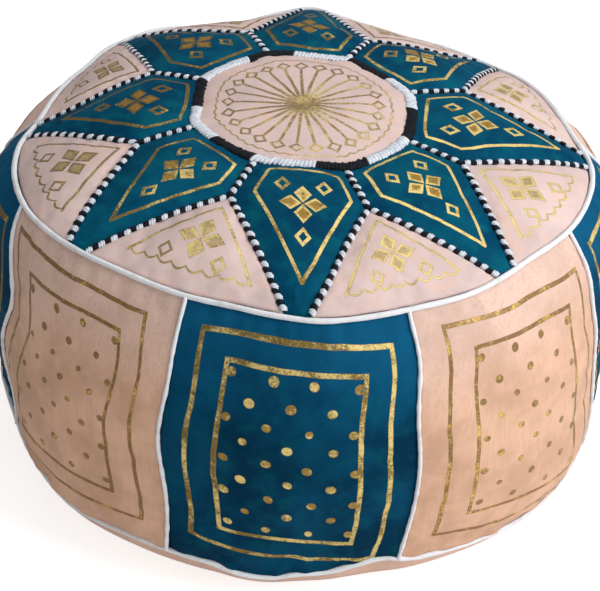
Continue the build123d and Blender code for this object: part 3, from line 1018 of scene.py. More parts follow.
class MeshPile:
    """Gathers points and faces of one piece."""

    def __init__(self) -> None:
        """Start with nothing."""
        self.points: list[np.ndarray] = []
        self.faces: list[np.ndarray] = []
        self.flats: list[np.ndarray] = []
        self.count = 0

    def add(self, points: np.ndarray, faces: np.ndarray, flat: np.ndarray | None = None) -> None:
        """Add points and the four-sided faces between them.

        Args:
            points: Places, one in each row.
            faces: Four point numbers in each row.
            flat: The place of each point on the flat leather.
        """
        self.points.append(points)
        self.faces.append(faces + self.count)
        self.flats.append(np.zeros((len(points), 2)) if flat is None else flat)
        self.count += len(points)

    def build(self, name: str, material: bpy.types.Material, merge: float = 0.0) -> bpy.types.Object:
        """Make the piece.

        Args:
            name: The piece's name.
            material: Its finish.
            merge: Points nearer than this become one.

        Returns:
            The piece.
        """
        mesh = bpy.data.meshes.new(name)
        mesh.from_pydata(np.concatenate(self.points).tolist(), [], np.concatenate(self.faces).tolist())
        corners = np.zeros(len(mesh.loops), dtype=np.int32)
        mesh.loops.foreach_get("vertex_index", corners)
        flat = np.concatenate(self.flats)[corners].astype(np.float32)
        mesh.uv_layers.new(name=TOOLING_MAP).data.foreach_set("uv", flat.ravel())
        if merge:
            worked = bmesh.new()
            worked.from_mesh(mesh)
            bmesh.ops.remove_doubles(worked, verts=worked.verts, dist=merge)
            bmesh.ops.dissolve_degenerate(worked, edges=worked.edges, dist=merge / 10)
            worked.to_mesh(mesh)
            worked.free()
        mesh.shade_smooth()
        mesh.materials.append(material)
        return stand(name, mesh)


def grid_faces(rows: int, columns: int, closed: bool = False) -> np.ndarray:
    """Number the four-sided faces of a grid.

    Args:
        rows: Rows of points.
        columns: Points in each row.
        closed: Whether each row joins its own start.

    Returns:
        Four point numbers for each face.
    """
    across = np.arange(columns if closed else columns - 1)
    down = np.arange(rows - 1)[:, None]
    first = down * columns + across
    second = down * columns + (across + 1) % columns
    return np.stack([first, second, second + columns, first + columns], axis=-1).reshape(-1, 4)


def grid_normals(points: np.ndarray, closed: bool = False) -> np.ndarray:
    """Return the normal at each point of a grid, away from the middle of the pouf."""
    if closed:
        wide = np.concatenate([points[:, -1:], points, points[:, :1]], axis=1)
        along = np.gradient(wide, axis=1)[:, 1:-1]
    else:
        along = np.gradient(points, axis=1)
    down = np.gradient(points, axis=0)
    normals = np.cross(along, down)
    sizes = np.linalg.norm(normals, axis=-1, keepdims=True)
    normals = normals / np.maximum(sizes, 1e-12)
    outward = points - np.array([0.0, 0.0, 0.13])
    if np.sum(normals * outward) < 0:
        normals = -normals
    return normals


def add_shell(pile: MeshPile, outer: np.ndarray, flat: np.ndarray, thickness: float,
              closed: bool = False) -> None:
    """Add a sheet of leather with its thickness.

    Args:
        pile: The piece's points and faces.
        outer: The outer face, as a grid of points.
        flat: The place of each point on the flat leather.
        thickness: Thickness of the leather.
        closed: Whether each row joins its own start.
    """
    rows, columns = outer.shape[:2]
    total = rows * columns
    normals = grid_normals(outer, closed)
    first, inner = outer.reshape(-1, 3), outer - normals * thickness
    faces = faced_out(grid_faces(rows, columns, closed), first, normals.reshape(-1, 3))
    border = border_pairs(rows, columns, closed)
    start, end = border.T
    walls = np.stack([end, start, start + total, end + total], axis=-1)
    used = {(int(a), int(b)) for face in faces[[0, -1]] for a, b in zip(face, np.roll(face, -1))}
    if not any(tuple(pair) in used for pair in border.tolist()):
        walls = walls[:, ::-1]
    points = np.concatenate([first, inner.reshape(-1, 3)])
    flats = np.concatenate([flat.reshape(-1, 2)] * 2)
    pile.add(points, np.concatenate([faces, faces[:, ::-1] + total, walls]), flats)


def faced_out(faces: np.ndarray, points: np.ndarray, normals: np.ndarray) -> np.ndarray:
    """Return a grid's faces, turned over if the one in the middle looks against its normal."""
    middle = faces[len(faces) // 2]
    corner = points[middle]
    facing = np.cross(corner[1] - corner[0], corner[2] - corner[0])
    return faces[:, ::-1] if np.dot(facing, normals[middle[0]]) < 0 else faces


def border_pairs(rows: int, columns: int, closed: bool) -> np.ndarray:
    """Return the border edges of a grid, each as two point numbers in turn."""
    grid = np.arange(rows * columns).reshape(rows, columns)
    if closed:
        top = [(a, b) for a, b in zip(grid[0], np.roll(grid[0], -1))]
        bottom = [(b, a) for a, b in zip(grid[-1], np.roll(grid[-1], -1))]
        return np.array(top + bottom)
    ring = np.concatenate([grid[0], grid[1:, -1], grid[-1, -2::-1], grid[-2:0:-1, 0]])
    return np.stack([ring, np.roll(ring, -1)], axis=-1)


def add_tube(pile: MeshPile, path: np.ndarray, outward: np.ndarray, half_width: np.ndarray | float,
             half_height: np.ndarray | float, sides: int, closed: bool = False) -> None:
    """Add a tube along a path.

    Args:
        pile: The piece's points and faces.
        path: Points of its middle line.
        outward: The direction that counts as up at each point.
        half_width: Half its width across the outward direction.
        half_height: Half its height along it.
        sides: Points round the tube.
        closed: Whether the path joins its own start.
    """
    if closed:
        tangent = np.roll(path, -1, axis=0) - np.roll(path, 1, axis=0)
    else:
        tangent = np.gradient(path, axis=0)
    tangent = tangent / np.linalg.norm(tangent, axis=-1, keepdims=True)
    across = np.cross(tangent, outward)
    across = across / np.linalg.norm(across, axis=-1, keepdims=True)
    up = np.cross(across, tangent)
    angles = np.linspace(0, 2 * pi, sides, endpoint=False)
    width = np.broadcast_to(np.asarray(half_width, dtype=float), (len(path),))[:, None, None]
    height = np.broadcast_to(np.asarray(half_height, dtype=float), (len(path),))[:, None, None]
    ring = across[:, None] * np.cos(angles)[None, :, None] * width
    ring = ring + up[:, None] * np.sin(angles)[None, :, None] * height
    points = (path[:, None] + ring).reshape(-1, 3)
    faces = grid_faces(len(path), sides, closed=True)
    if closed:
        last = np.arange(sides) + (len(path) - 1) * sides
        following = np.roll(last, -1)
        first = np.arange(sides)
        faces = np.concatenate([faces, np.stack([last, following, np.roll(first, -1), first], axis=-1)])
        pile.add(points, faces)
        return
    caps = []
    for start in (0, (len(path) - 1) * sides):
        centre = len(points)
        points = np.concatenate([points, points[start:start + sides].mean(axis=0, keepdims=True)])
        for step in range(0, sides, 2):
            ring_points = [start + step, start + step + 1, start + (step + 2) % sides]
            caps.append((*ring_points, centre) if start else (*ring_points[::-1], centre))
    pile.add(points, np.concatenate([faces, np.array(caps)]))


@dataclass
class Dresser:
    """Settles each piece, puts it on its body and hides the CAD nodes that it stands for."""

    workshop: Workshop = field(default_factory=Workshop)
    slump: Slump = field(default_factory=Slump)

    def place(self, piece: bpy.types.Object, slot: str, *nodes: str, top: bool = False) -> bpy.types.Object:
        """Settle a piece of the cover and let it stand for CAD nodes.

        Args:
            piece: The piece.
            slot: The record's material slot; not used.
            nodes: The nodes that it stands for.
            top: Whether it belongs to the star or its lacing.

        Returns:
            The piece.
        """
        points = np.zeros(len(piece.data.vertices) * 3)
        piece.data.vertices.foreach_get("co", points)
        piece.data.vertices.foreach_set("co", self.slump.settled(points.reshape(-1, 3), top).ravel())
        piece.data.update()
        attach(piece, COVER)
        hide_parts(*nodes)
        log.info("%s: %d points", piece.name, len(piece.data.vertices))
        return piece


@dataclass
class Sheet:
    """One sewn piece of leather or cloth, before it is given its thickness."""

    name: str
    node: str
    slot: str
    outer: np.ndarray
    flat: np.ndarray
    finish: Leather | Finish
    closed: bool = False
    top: bool = True
    room: float = 0.0030
    thickness: float = 0.002

    def make(self, dresser: Dresser) -> None:
        """Give the sheet its thickness and finish, and let it stand for its CAD node."""
        pile = MeshPile()
        add_shell(pile, self.outer, self.flat, self.thickness, self.closed)
        piece = pile.build(self.name, dresser.workshop.take(self.finish), MERGE_REACH)
        dresser.place(piece, self.slot, self.node, top=self.top)


def resample(values: np.ndarray, places: np.ndarray, count: int) -> np.ndarray:
    """Read values that stand at some whole places at every whole place, along the first axis."""
    whole = np.arange(count)
    before = np.clip(np.searchsorted(places, whole, side="right") - 1, 0, len(places) - 2)
    share = (whole - places[before]) / (places[before + 1] - places[before])
    share = share.reshape(-1, *([1] * (values.ndim - 1)))
    return values[before] * (1 - share) + values[before + 1] * share


@dataclass(frozen=True)
class Packing:
    """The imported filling's push on the sewn leather, found by cloth simulation."""

    pressure: float = 4.0
    slack: float = 0.006
    stiffness: float = 15.0
    bending: float = 1.2
    steps: int = 20
    stride: int = 2
    most_in: float = 0.0012
    most_aside: float = 0.0012
    mass: float = 0.05
    narrow: float = 0.0009

    def press(self, sheets: Sequence[Sheet]) -> None:
        """Let every sheet swell and crease between its sewn borders, and keep its new shape."""
        hung = [self._hang(sheet) for sheet in sheets]
        scene = bpy.context.scene
        for step in range(1, self.steps + 1):
            scene.frame_set(step)
        graph = bpy.context.evaluated_depsgraph_get()
        for sheet, (piece, start, rows, columns) in zip(sheets, hung):
            settled = piece.evaluated_get(graph).to_mesh()
            places = np.zeros(start.size)
            settled.vertices.foreach_get("co", places)
            moved = self._held(start, places.reshape(start.shape) - start, sheet)
            if sheet.closed:
                moved = np.concatenate([moved, moved[:, :1]], axis=1)
                columns = np.append(columns, sheet.outer.shape[1])
            fine = resample(moved, rows, sheet.outer.shape[0]).swapaxes(0, 1)
            fine = resample(fine, columns, sheet.outer.shape[1]).swapaxes(0, 1)
            sheet.outer = sheet.outer + fine
            log.info("%s pressed out by %.1f mm", sheet.name, float(np.abs(fine).max() / MM))
            bpy.data.objects.remove(piece)
        scene.frame_set(1)

    def _hang(self, sheet: Sheet) -> tuple[bpy.types.Object, np.ndarray, np.ndarray, np.ndarray]:
        """Make a coarser cloth of a sheet, sewn down along its borders.

        Args:
            sheet: The sheet.

        Returns:
            The cloth, its grid of points, and the sheet's rows and columns that it has.
        """
        high, wide = sheet.outer.shape[:2]
        rows = np.append(np.arange(0, high - 1, self.stride), high - 1)
        columns = np.arange(0, wide, self.stride)
        if sheet.closed:
            rows = rows[1:]
        else:
            columns = np.append(np.arange(0, wide - 1, self.stride), wide - 1)
        start = sheet.outer[np.ix_(rows, columns)]
        flat = start.reshape(-1, 3)
        normals = grid_normals(start, sheet.closed).reshape(-1, 3)
        faces = faced_out(grid_faces(len(rows), len(columns), sheet.closed), flat, normals)
        mesh = bpy.data.meshes.new("pressed_" + sheet.name)
        mesh.from_pydata(flat.tolist(), [], faces.tolist())
        piece = stand("pressed_" + sheet.name, mesh)
        sewn = np.zeros(start.shape[:2], dtype=bool)
        sewn[-1] = True
        if not sheet.closed:
            sewn[0] = sewn[:, 0] = sewn[:, -1] = True
            spacing = np.linalg.norm(start[:, 1:] - start[:, :-1], axis=-1).mean(axis=1)
            sewn[spacing < self.narrow] = True
        group = piece.vertex_groups.new(name="sewn")
        group.add(np.flatnonzero(sewn).tolist(), 1.0, "REPLACE")
        cloth = piece.modifiers.new("filling_push", "CLOTH")
        cloth.point_cache.frame_start = 1
        cloth.point_cache.frame_end = self.steps + 1
        cloth.collision_settings.use_collision = False
        values = {
            "vertex_group_mass": "sewn", "mass": self.mass, "use_pressure": True, "shrink_min": -self.slack,
            "uniform_pressure_force": self.pressure, "tension_stiffness": self.stiffness,
            "compression_stiffness": self.stiffness, "bending_stiffness": self.bending,
        }
        for key, value in values.items():
            setattr(cloth.settings, key, value)
        cloth.settings.effector_weights.gravity = 0.0
        return piece, start, rows, columns

    def _held(self, start: np.ndarray, moved: np.ndarray, sheet: Sheet) -> np.ndarray:
        """Limit how far each point moves.

        Args:
            start: The grid before.
            moved: How far each point moved.
            sheet: The sheet, with the room that it has.

        Returns:
            The limited moves.
        """
        normals = grid_normals(start, sheet.closed)
        out = np.sum(moved * normals, axis=-1, keepdims=True)
        aside = moved - normals * out
        length = np.linalg.norm(aside, axis=-1, keepdims=True)
        aside = aside * np.tanh(length / self.most_aside) * self.most_aside / np.maximum(length, 1e-9)
        reach = np.where(out > 0, sheet.room, self.most_in)
        return normals * np.tanh(out / reach) * reach + aside


@dataclass
class StarTop:
    """The top: a round medallion, eight petals and eight triangles, each puffed between its seams."""

    form: CoverForm
    points: int = 8
    ring_radius: float = 0.090
    knot_radius: float = 0.142
    tip_width: float = 0.0165
    medallion_puff: float = 0.0022
    stamp_places: tuple[tuple[float, float, float], ...] = (
        (0.0, 3.0, 1.0), (0.0, 0.0, 1.0), (1.0, -1.0, 1.02), (-1.5, 1.0, 1.03),
        (1.0, 0.0, 1.0), (0.0, -1.5, 1.02), (-1.0, 1.0, 1.02), (0.0, 5.0, 1.08),
    )
    seam_gap: float = 0.001
    outer_radius: float = 0.2322
    puff_share: float = 0.075
    seam_dip: float = 0.0016
    seam_reach: float = 0.0035
    rim_dip: float = 0.0012
    rim_reach: float = 0.004
    swell_reach: float = 0.035
    crumple: float = 0.0007

    def __post_init__(self) -> None:
        """Work out the seams of the star."""
        half = radians(180 / self.points)
        rim = self.form.rim_radius
        self.knot = (self.knot_radius * cos(half), self.knot_radius * sin(half))
        self.tip = (sqrt(rim ** 2 - (self.tip_width / 2) ** 2), self.tip_width / 2)
        self.petal_taper = (self.tip[1] - self.knot[1]) / (self.tip[0] - self.knot[0])
        self.tip_angle = atan(self.tip[1] / self.tip[0])
        corner = (rim * cos(half - self.tip_angle), rim * sin(half - self.tip_angle))
        self.triangle_taper = corner[1] / (corner[0] - self.knot_radius)
        self.half = half

    def petal_half_width(self, along: np.ndarray) -> np.ndarray:
        """Return half the width of a petal at a distance along its middle line."""
        inner = along * tan(self.half)
        outer = self.knot[1] + self.petal_taper * (along - self.knot[0])
        return np.minimum(inner, outer) - self.seam_gap / 2 * hypot(1, self.petal_taper)

    def triangle_half_width(self, along: np.ndarray) -> np.ndarray:
        """Return half the width of a rim triangle at a distance along its middle line."""
        taper = self.triangle_taper
        return taper * (along - self.knot_radius) - self.seam_gap / 2 * hypot(1, taper)

    def lift(self, along: np.ndarray, across: np.ndarray, half_width: np.ndarray, start: float) -> np.ndarray:
        """Return the height of a puffed piece.

        Args:
            along: Distance along its middle line.
            across: Distance from that line.
            half_width: Half its width there.
            start: Where its inner end is sewn down.

        Returns:
            The height of the leather's outer face.
        """
        radius = np.hypot(along, across)
        share = np.clip(np.abs(across) / np.maximum(half_width, 1e-6), 0, 1)
        swell = np.clip((along - start) / self.swell_reach, 0, 1)
        fade = 1 - (radius / self.form.rim_radius) ** 8
        puff = self.puff_share * half_width * (1 - share ** 2.6) * np.sin(pi / 2 * swell) * fade
        seam = np.clip(half_width - np.abs(across), 0, None)
        dip = self.seam_dip * np.exp(-seam / self.seam_reach)
        rim_dip = self.rim_dip * np.exp(-np.clip(self.outer_radius - radius, 0, None) / self.rim_reach)
        return self.form.crown(radius) + puff - dip - rim_dip

    def turned(self, along: np.ndarray, across: np.ndarray, height: np.ndarray, turn: float) -> np.ndarray:
        """Return places on the top, turned from the front.

        Args:
            along: Distance along the piece's middle line.
            across: Distance to its left, seen from outside along that line.
            height: Height over the floor.
            turn: Turn of its middle line.
        """
        angle = radians(turn - 90)
        x = along * cos(angle) - across * sin(angle)
        y = along * sin(angle) + across * cos(angle)
        return np.stack([x, y, height], axis=-1)

    def crumpled(self, outer: np.ndarray, seed: float) -> np.ndarray:
        """Give a sheet the soft unevenness of stuffed leather."""
        moved = outer.copy()
        moved[..., 2] += (
            cloud_at(outer, 0.03, seed) * self.crumple + cloud_at(outer, 0.011, seed) * self.crumple * 0.35
        )
        return moved

    def sheets(self) -> list[Sheet]:
        """Return every leather piece of the top."""
        pieces = [self.medallion()]
        for number in range(self.points):
            pieces += [self.petal(number), self.triangle(number)]
        return pieces

    def medallion(self) -> Sheet:
        """Return the round middle."""
        rows, columns = 46, 144
        radii = np.linspace(0, self.ring_radius - self.seam_gap / 2, rows)[:, None]
        turns = np.linspace(0, 360, columns, endpoint=False)[None, :]
        share = radii / radii[-1]
        height = self.form.crown(radii) + self.medallion_puff * (1 - share ** 2.2) - 0.0006 * share ** 12
        outer = direction(np.broadcast_to(turns, (rows, columns))) * radii[..., None]
        outer[..., 2] = height
        outer = self.crumpled(outer, 3.0)
        finish = Leather("natural_leather_sunburst", pattern=Pattern.SUNBURST, **NATURAL_TOP)
        flat = outer[..., :2] * (1.04, 1.0) + (0.0, 0.0036)
        names = ("medallion_leather", "medallion", "natural_leather")
        return Sheet(*names, outer, flat, finish, closed=True, room=0.0008)

    def petal(self, number: int) -> Sheet:
        """Return one blue petal."""
        start = self.ring_radius + self.seam_gap / 2
        inner = np.linspace(start, self.knot[0], 22, endpoint=False)
        outer_run = np.linspace(self.knot[0], self.outer_radius, 46)
        stations = np.concatenate([inner, outer_run])[:, None]
        share = np.linspace(-1, 1, 45)[None, :]
        pull = np.clip((self.knot[0] - stations) / (self.knot[0] - start), 0, 1) ** 2
        sag = start * (1 - cos(self.half))
        half_width = self.petal_half_width(stations - pull * sag)
        across = share * half_width
        along = stations - pull * (start - np.sqrt(start ** 2 - across ** 2))
        height = self.lift(along, across, half_width, start)
        outer = self.turned(along, across, height, 360 / self.points * number)
        outer = self.crumpled(outer, 10.0 + number)
        finish = Leather("blue_leather_petal", pattern=Pattern.PETAL, **BLUE_TOP)
        by_along, by_across, scale = self.stamp_places[number]
        middle = PetalTooling().flower_at * MM
        places = [middle + (along - middle - by_along * MM) * scale, (across - by_across * MM) * scale]
        flat = np.stack(places, axis=-1)
        names = (f"petal_leather_{number + 1}", f"star_petal_{number + 1}", "blue_leather")
        return Sheet(*names, outer, flat, finish)

    def triangle(self, number: int) -> Sheet:
        """Return one natural triangle."""
        shares = np.linspace(0.012, 1, 52)[:, None]
        fan = np.linspace(-1, 1, 49)[None, :]
        angle = (self.half - self.tip_angle) * fan * 0.994
        base_along = self.outer_radius * np.cos(angle)
        base_across = self.outer_radius * np.sin(angle)
        inset = self.knot_radius + self.seam_gap / 2 / sin(atan(self.triangle_taper))
        along = inset + shares * (base_along - inset)
        across = shares * base_across
        half_width = self.triangle_half_width(along)
        across = np.sign(across) * np.minimum(np.abs(across), np.maximum(half_width, 0.00005))
        height = self.lift(along, across, half_width, inset - 0.02)
        outer = self.turned(along, across, height, 360 / self.points * (number + 0.5))
        outer = self.crumpled(outer, 30.0 + number)
        finish = Leather("natural_leather_triangle", pattern=Pattern.TRIANGLE, **NATURAL_TOP)
        flat = np.stack([along, across], axis=-1)
        names = (f"triangle_leather_{number + 1}", f"rim_triangle_{number + 1}", "natural_leather")
        return Sheet(*names, outer, flat, finish)


@dataclass
class Lacing:
    """Whipped lacing round the medallion and on the star's seams, white and black in turn."""

    dresser: Dresser
    form: CoverForm
    top: StarTop
    ring_width: float = 0.0092
    ring_height: float = 0.0017
    white_share: float = 0.54
    stretches: int = 12
    start_share: float = 0.23
    ring_wraps: int = 15
    ring_slant: float = 0.3
    bead_pitch: float = 0.00474
    bead_shape: tuple[float, ...] = (0.78, 1.0, 0.8)
    seam_width: float = 0.0053
    seam_height: float = 0.0019
    seam_slant: float = 0.3
    bead_aside: float = 0.0004
    sunk: float = 0.0012
    thread_half: float = 0.0009

    def __post_init__(self) -> None:
        """Make the two threads."""
        # The white thread's second colour is painted shade: the pale blue shadow between its ribs, laid on in
        # random clouds.
        white = Thread("white_lacing", (0.80, 0.83, 0.89), (0.58, 0.64, 0.74), 0.5)
        black = Thread("black_lacing", (0.004, 0.005, 0.009), (0.010, 0.012, 0.022), 0.45)
        self.threads = [self.dresser.workshop.take(white), self.dresser.workshop.take(black)]
        self.names = ("white", "black")

    def frame_at(self, spot: np.ndarray) -> tuple[np.ndarray, np.ndarray]:
        """Return the place on the crown over a level spot, and the normal there."""
        radius = float(np.hypot(spot[0], spot[1]))
        outward = np.array([spot[0], spot[1], 0.0]) / radius
        slope = self.form.crown_slope(radius)
        normal = np.array([0.0, 0.0, 1.0]) - outward * slope
        place = np.array([spot[0], spot[1], float(self.form.crown(radius))])
        return place, normal / np.linalg.norm(normal)

    def add_wrap(self, pile: MeshPile, spot: np.ndarray, along: np.ndarray, size: tuple[float, float, float],
                 slant: float, seat: float) -> None:
        """Add one wrap of thread over a seam.

        Args:
            pile: The points and faces of its colour.
            spot: Its level place.
            along: Level direction of the seam.
            size: Its reach across the seam, its height and its own width.
            slant: How far it leans along the seam, as a share of its reach.
            seat: How high over the crown it starts.
        """
        reach, height, width = size
        place, normal = self.frame_at(spot)
        tangent = along - normal * np.dot(along, normal)
        tangent = tangent / np.linalg.norm(tangent)
        across = np.cross(normal, tangent)
        turns = np.linspace(0, pi, 9)
        side = -np.cos(turns) * reach / 2
        rise = np.sin(turns) ** 0.75 * height + seat - self.sunk
        path = place + side[:, None] * across + rise[:, None] * normal + (side * slant)[:, None] * tangent
        swell = 0.5 + 0.5 * np.sin(turns) ** 0.7
        outward = normal + across * (side / reach)[:, None]
        add_tube(pile, path, outward, width / 2 * swell, self.thread_half * swell, 8)

    def make(self) -> None:
        """Build both colours of both kinds of lacing."""
        self.make_ring()
        self.make_seams()

    def make_ring(self) -> None:
        """Build the lacing round the medallion."""
        rng = np.random.default_rng(5)
        stretch = 360 / self.stretches
        for colour in range(2):
            pile = MeshPile()
            shown = 2 * stretch * (1 - self.white_share if colour else self.white_share)
            for number in range(colour, self.stretches, 2):
                start = (number - 0.5 + self.start_share) * stretch - shown / 2
                for wrap in range(self.ring_wraps):
                    turn = start + shown * (wrap + 0.5) / self.ring_wraps
                    pitch = radians(shown / self.ring_wraps) * self.top.ring_radius
                    spot = direction(turn) * (self.top.ring_radius + rng.normal(0, 0.0003))
                    reach = self.ring_width * rng.uniform(0.86, 1.08)
                    size = (reach, self.ring_height * rng.uniform(0.88, 1.08), pitch * 1.22)
                    self.add_wrap(pile, spot, direction(turn + 90), size, self.ring_slant, self.thread_half)
            name = self.names[colour]
            piece = pile.build(f"ring_lace_{name}", self.threads[colour])
            self.dresser.place(piece, f"{name}_lace", f"medallion_lace_{name}", top=True)

    def runs(self) -> list[tuple[np.ndarray, np.ndarray]]:
        """Return the level ends of every seam of the star."""
        found = []
        step = 360 / self.top.points
        knot = self.top.knot_radius
        rim = self.form.rim_radius
        tip = degrees(self.top.tip_angle)
        for number in range(self.top.points):
            turn = (number + 0.5) * step
            node = direction(turn) * knot
            short_start = direction(turn) * (self.top.ring_radius + self.ring_width / 2 + 0.0006)
            found.append((short_start, direction(turn) * (knot + 0.0004)))
            for side in (-1, 1):
                end = direction(turn + side * (step / 2 - tip)) * rim
                away = (end - node) / np.linalg.norm(end - node)
                found.append((node + away * 0.0030, end - away * 0.0036))
        return found

    def make_seams(self) -> None:
        """Build the beads of thread on the star's seams."""
        rng = np.random.default_rng(6)
        piles = [MeshPile(), MeshPile()]
        for start, end in self.runs():
            length = float(np.linalg.norm(end - start))
            along = (end - start) / length
            beads = max(2, round(length / self.bead_pitch))
            pitch = length / beads
            for bead in range(beads):
                colour = bead % 2
                plump = rng.uniform(0.9, 1.08) * (1.0 if colour == 0 else 0.94)
                aside = np.array([-along[1], along[0], 0.0]) * self.bead_aside * (1 - 2 * colour)
                aside = aside + along * rng.normal(0, 0.00025)
                for wrap, shape in enumerate(self.bead_shape):
                    share = (bead + (wrap + 0.5) / len(self.bead_shape)) * pitch
                    spot = start + along * share + aside
                    reach = self.seam_width * plump * shape * rng.uniform(0.96, 1.04)
                    width = pitch / len(self.bead_shape) * 1.3
                    size = (reach, self.seam_height * plump * (0.35 + 0.65 * shape), width)
                    self.add_wrap(piles[colour], spot, along, size, self.seam_slant, 0.0005)
        for pile, name, thread in zip(piles, self.names, self.threads):
            piece = pile.build(f"star_lace_{name}", thread)
            self.dresser.place(piece, f"{name}_lace", "star_lace", top=True)


@dataclass
class SideWall:
    """Ten side panels that bulge between drawn-in seams, with the piping round them."""

    dresser: Dresser
    form: CoverForm
    wander: Wander
    top_welt: float = 0.0022
    foot_welt: float = 0.0022
    side_welt: float = 0.0017
    side_proud: float = 0.0010
    start_fullness: float = 0.5
    frame_places: tuple[tuple[int, tuple[float, ...]], ...] = (
        (0, (-0.9, 12.6, 2.7, 1.2, 1.5, 0.0, 11.0, -5.5)),
        (1, (15.0, 13.0, 1.0, 3.0, 0.0, -4.0, 0.0, 0.0)),
        (9, (-2.0, -6.0, -2.0, 3.5, -2.0, 9.0, 0.0, 0.0)),
    )
    rows: int = 96
    columns: int = 72

    def seam_turn(self, number: int, height: np.ndarray) -> np.ndarray:
        """Return the turn of the seam after a panel at each height."""
        base = self.form.seam_turns()[number % 10] - (360 if number < 0 else 0)
        return base + self.wander.seam_shift(number % 10, height)

    def foot_height(self, turn: np.ndarray) -> np.ndarray:
        """Return the height of the foot seam at a turn."""
        return self.form.foot_height + self.wander.foot_rise(turn)

    def rim_height(self, turn: np.ndarray) -> np.ndarray:
        """Return the height of the rim seam at a turn."""
        return self.form.rim_height + Ripple(0.0007, 21).at(turn)

    def folds(self, number: int, share: np.ndarray, height: np.ndarray) -> np.ndarray:
        """Return how far a panel stands out in soft folds.

        Args:
            number: The panel, counted from 0.
            share: Place across it, -1 to 1.
            height: Height over the floor.

        Returns:
            The rise of its surface.
        """
        rng = np.random.default_rng(70 + number)
        depth = 0.0022 if number % 2 else 0.0026
        total = np.zeros(np.broadcast(share, height).shape)
        for _ in range(4):
            middle = rng.uniform(-0.85, 0.85)
            lean = rng.uniform(-1.2, 1.2)
            width = rng.uniform(0.1, 0.28)
            centre = rng.uniform(0.06, 0.24)
            reach = rng.uniform(0.04, 0.1)
            line = share - middle - lean * (height - self.form.bulge_height)
            fold = np.exp(-(line / width) ** 2 - ((height - centre) / reach) ** 2)
            total = total + rng.uniform(-1, 1) * fold
        return total * depth

    def puckers(self, number: int, share: np.ndarray, height: np.ndarray, low: np.ndarray) -> np.ndarray:
        """Return the small gathers along the rim and the foot seam."""
        rng = np.random.default_rng(90 + number)
        phases = rng.uniform(0, 2 * pi, 4)
        waves = np.sin(share * 21 + phases[0]) + 0.7 * np.sin(share * 33 + phases[1])
        near_rim = np.exp(-(self.form.rim_height - height) / 0.016)
        near_foot = np.exp(-(height - low) / 0.014)
        waves_low = np.sin(share * 17 + phases[2]) + 0.8 * np.sin(share * 29 + phases[3])
        return 0.0004 * waves * near_rim + 0.0008 * waves_low * near_foot

    def panel(self, number: int) -> Sheet:
        """Return one side panel."""
        share = np.linspace(-1, 1, self.columns)[None, :]
        level = np.linspace(0, 1, self.rows)[:, None]
        middle = self.form.seam_turns()[number] - self.form.panel_round[number] / 2
        rough_turn = middle + share * self.form.panel_round[number] / 2
        low = self.foot_height(rough_turn) + self.foot_welt * 0.6
        high = self.rim_height(rough_turn) - self.top_welt * 0.6
        height = low + (high - low) * level
        gap = degrees(self.side_welt * 0.45 / self.form.seam_bulge)
        left = self.seam_turn(number - 1, height) + gap
        right = self.seam_turn(number, height) - gap
        turn = (left + right) / 2 + share * (right - left) / 2
        bounded = np.clip(height, self.form.foot_height, self.form.rim_height)
        drawn = self.form.side_radius(bounded, self.form.seam_bulge)
        full = self.form.side_radius(bounded, self.form.bulge_radius)
        puff = 1 - np.abs(share) ** 2.4
        radius = drawn + (full - drawn) * puff * self.start_fullness
        seam_dip = np.exp(-(1 - np.abs(share)) / 0.035)
        radius = radius - 0.0004 * seam_dip - 0.0012 * np.exp(-(high - height) / 0.0025)
        radius = radius + self.folds(number, share, height) * puff
        radius = radius + self.puckers(number, share, height, low)
        outer = direction(turn) * radius[..., None]
        outer[..., 2] = height
        uneven = cloud_at(outer, 0.045, 50.0 + number) * 0.0016
        uneven = uneven + cloud_at(outer, 0.016, 60.0 + number) * 0.0004
        outer = outer + direction(turn) * (uneven * (1 - seam_dip))[..., None]
        flat = self.flat_places(number, share, height)
        # Both kinds of panel turn paler towards the rim: partly fading, partly painted light from above and
        # painted sheen.
        if number % 2 == 0:
            slot = "blue_leather"
            looks = {"fade_and_light_share": 0.7, **BLUE_SIDE}
        else:
            slot = "natural_leather"
            looks = {"foil_width": 2.8, "dot_radius": 2.7, "fade_and_light_share": 0.5, "fibres": 0.5, **NATURAL_SIDE}
        finish = Leather(f"{slot}_panel", pattern=Pattern.PANEL, **looks)
        names = (f"side_leather_{number + 1}", f"side_panel_{number + 1}", slot)
        return Sheet(*names, outer, flat, finish, top=False, room=0.0050)

    def flat_places(self, number: int, share: np.ndarray, height: np.ndarray) -> np.ndarray:
        """Return where each point lies on the flat, tooled panel, whose frames were stamped by eye.

        A panel's frames lie this far from true, in millimetres: how far down and how far tilted
        they are at the foot, the same at the rim, how far aside at the foot and at the rim, and how
        far they bow at the foot and at the rim.

        Args:
            number: The panel, counted from 0.
            share: Place across it, -1 to 1.
            height: Height over the floor.

        Returns:
            Places in metres, on a panel of standard width.
        """
        rng = np.random.default_rng(120 + number)
        stray = np.array(dict(self.frame_places).get(number, rng.uniform(-4, 4, 8))) * MM
        down_low, tilt_low, down_high, tilt_high, aside_low, aside_high, bow_low, bow_high = stray
        level = (height - 0.06) / 0.19
        up = height + (down_low + tilt_low * share / 0.78 + bow_low * (1 - share ** 2)) * (1 - level)
        up = up + (down_high + tilt_high * share / 0.78 + bow_high * (1 - share ** 2)) * level
        across = share * PanelTooling().half_width * MM + aside_low * (1 - level) + aside_high * level
        return np.stack([across, up], axis=-1)

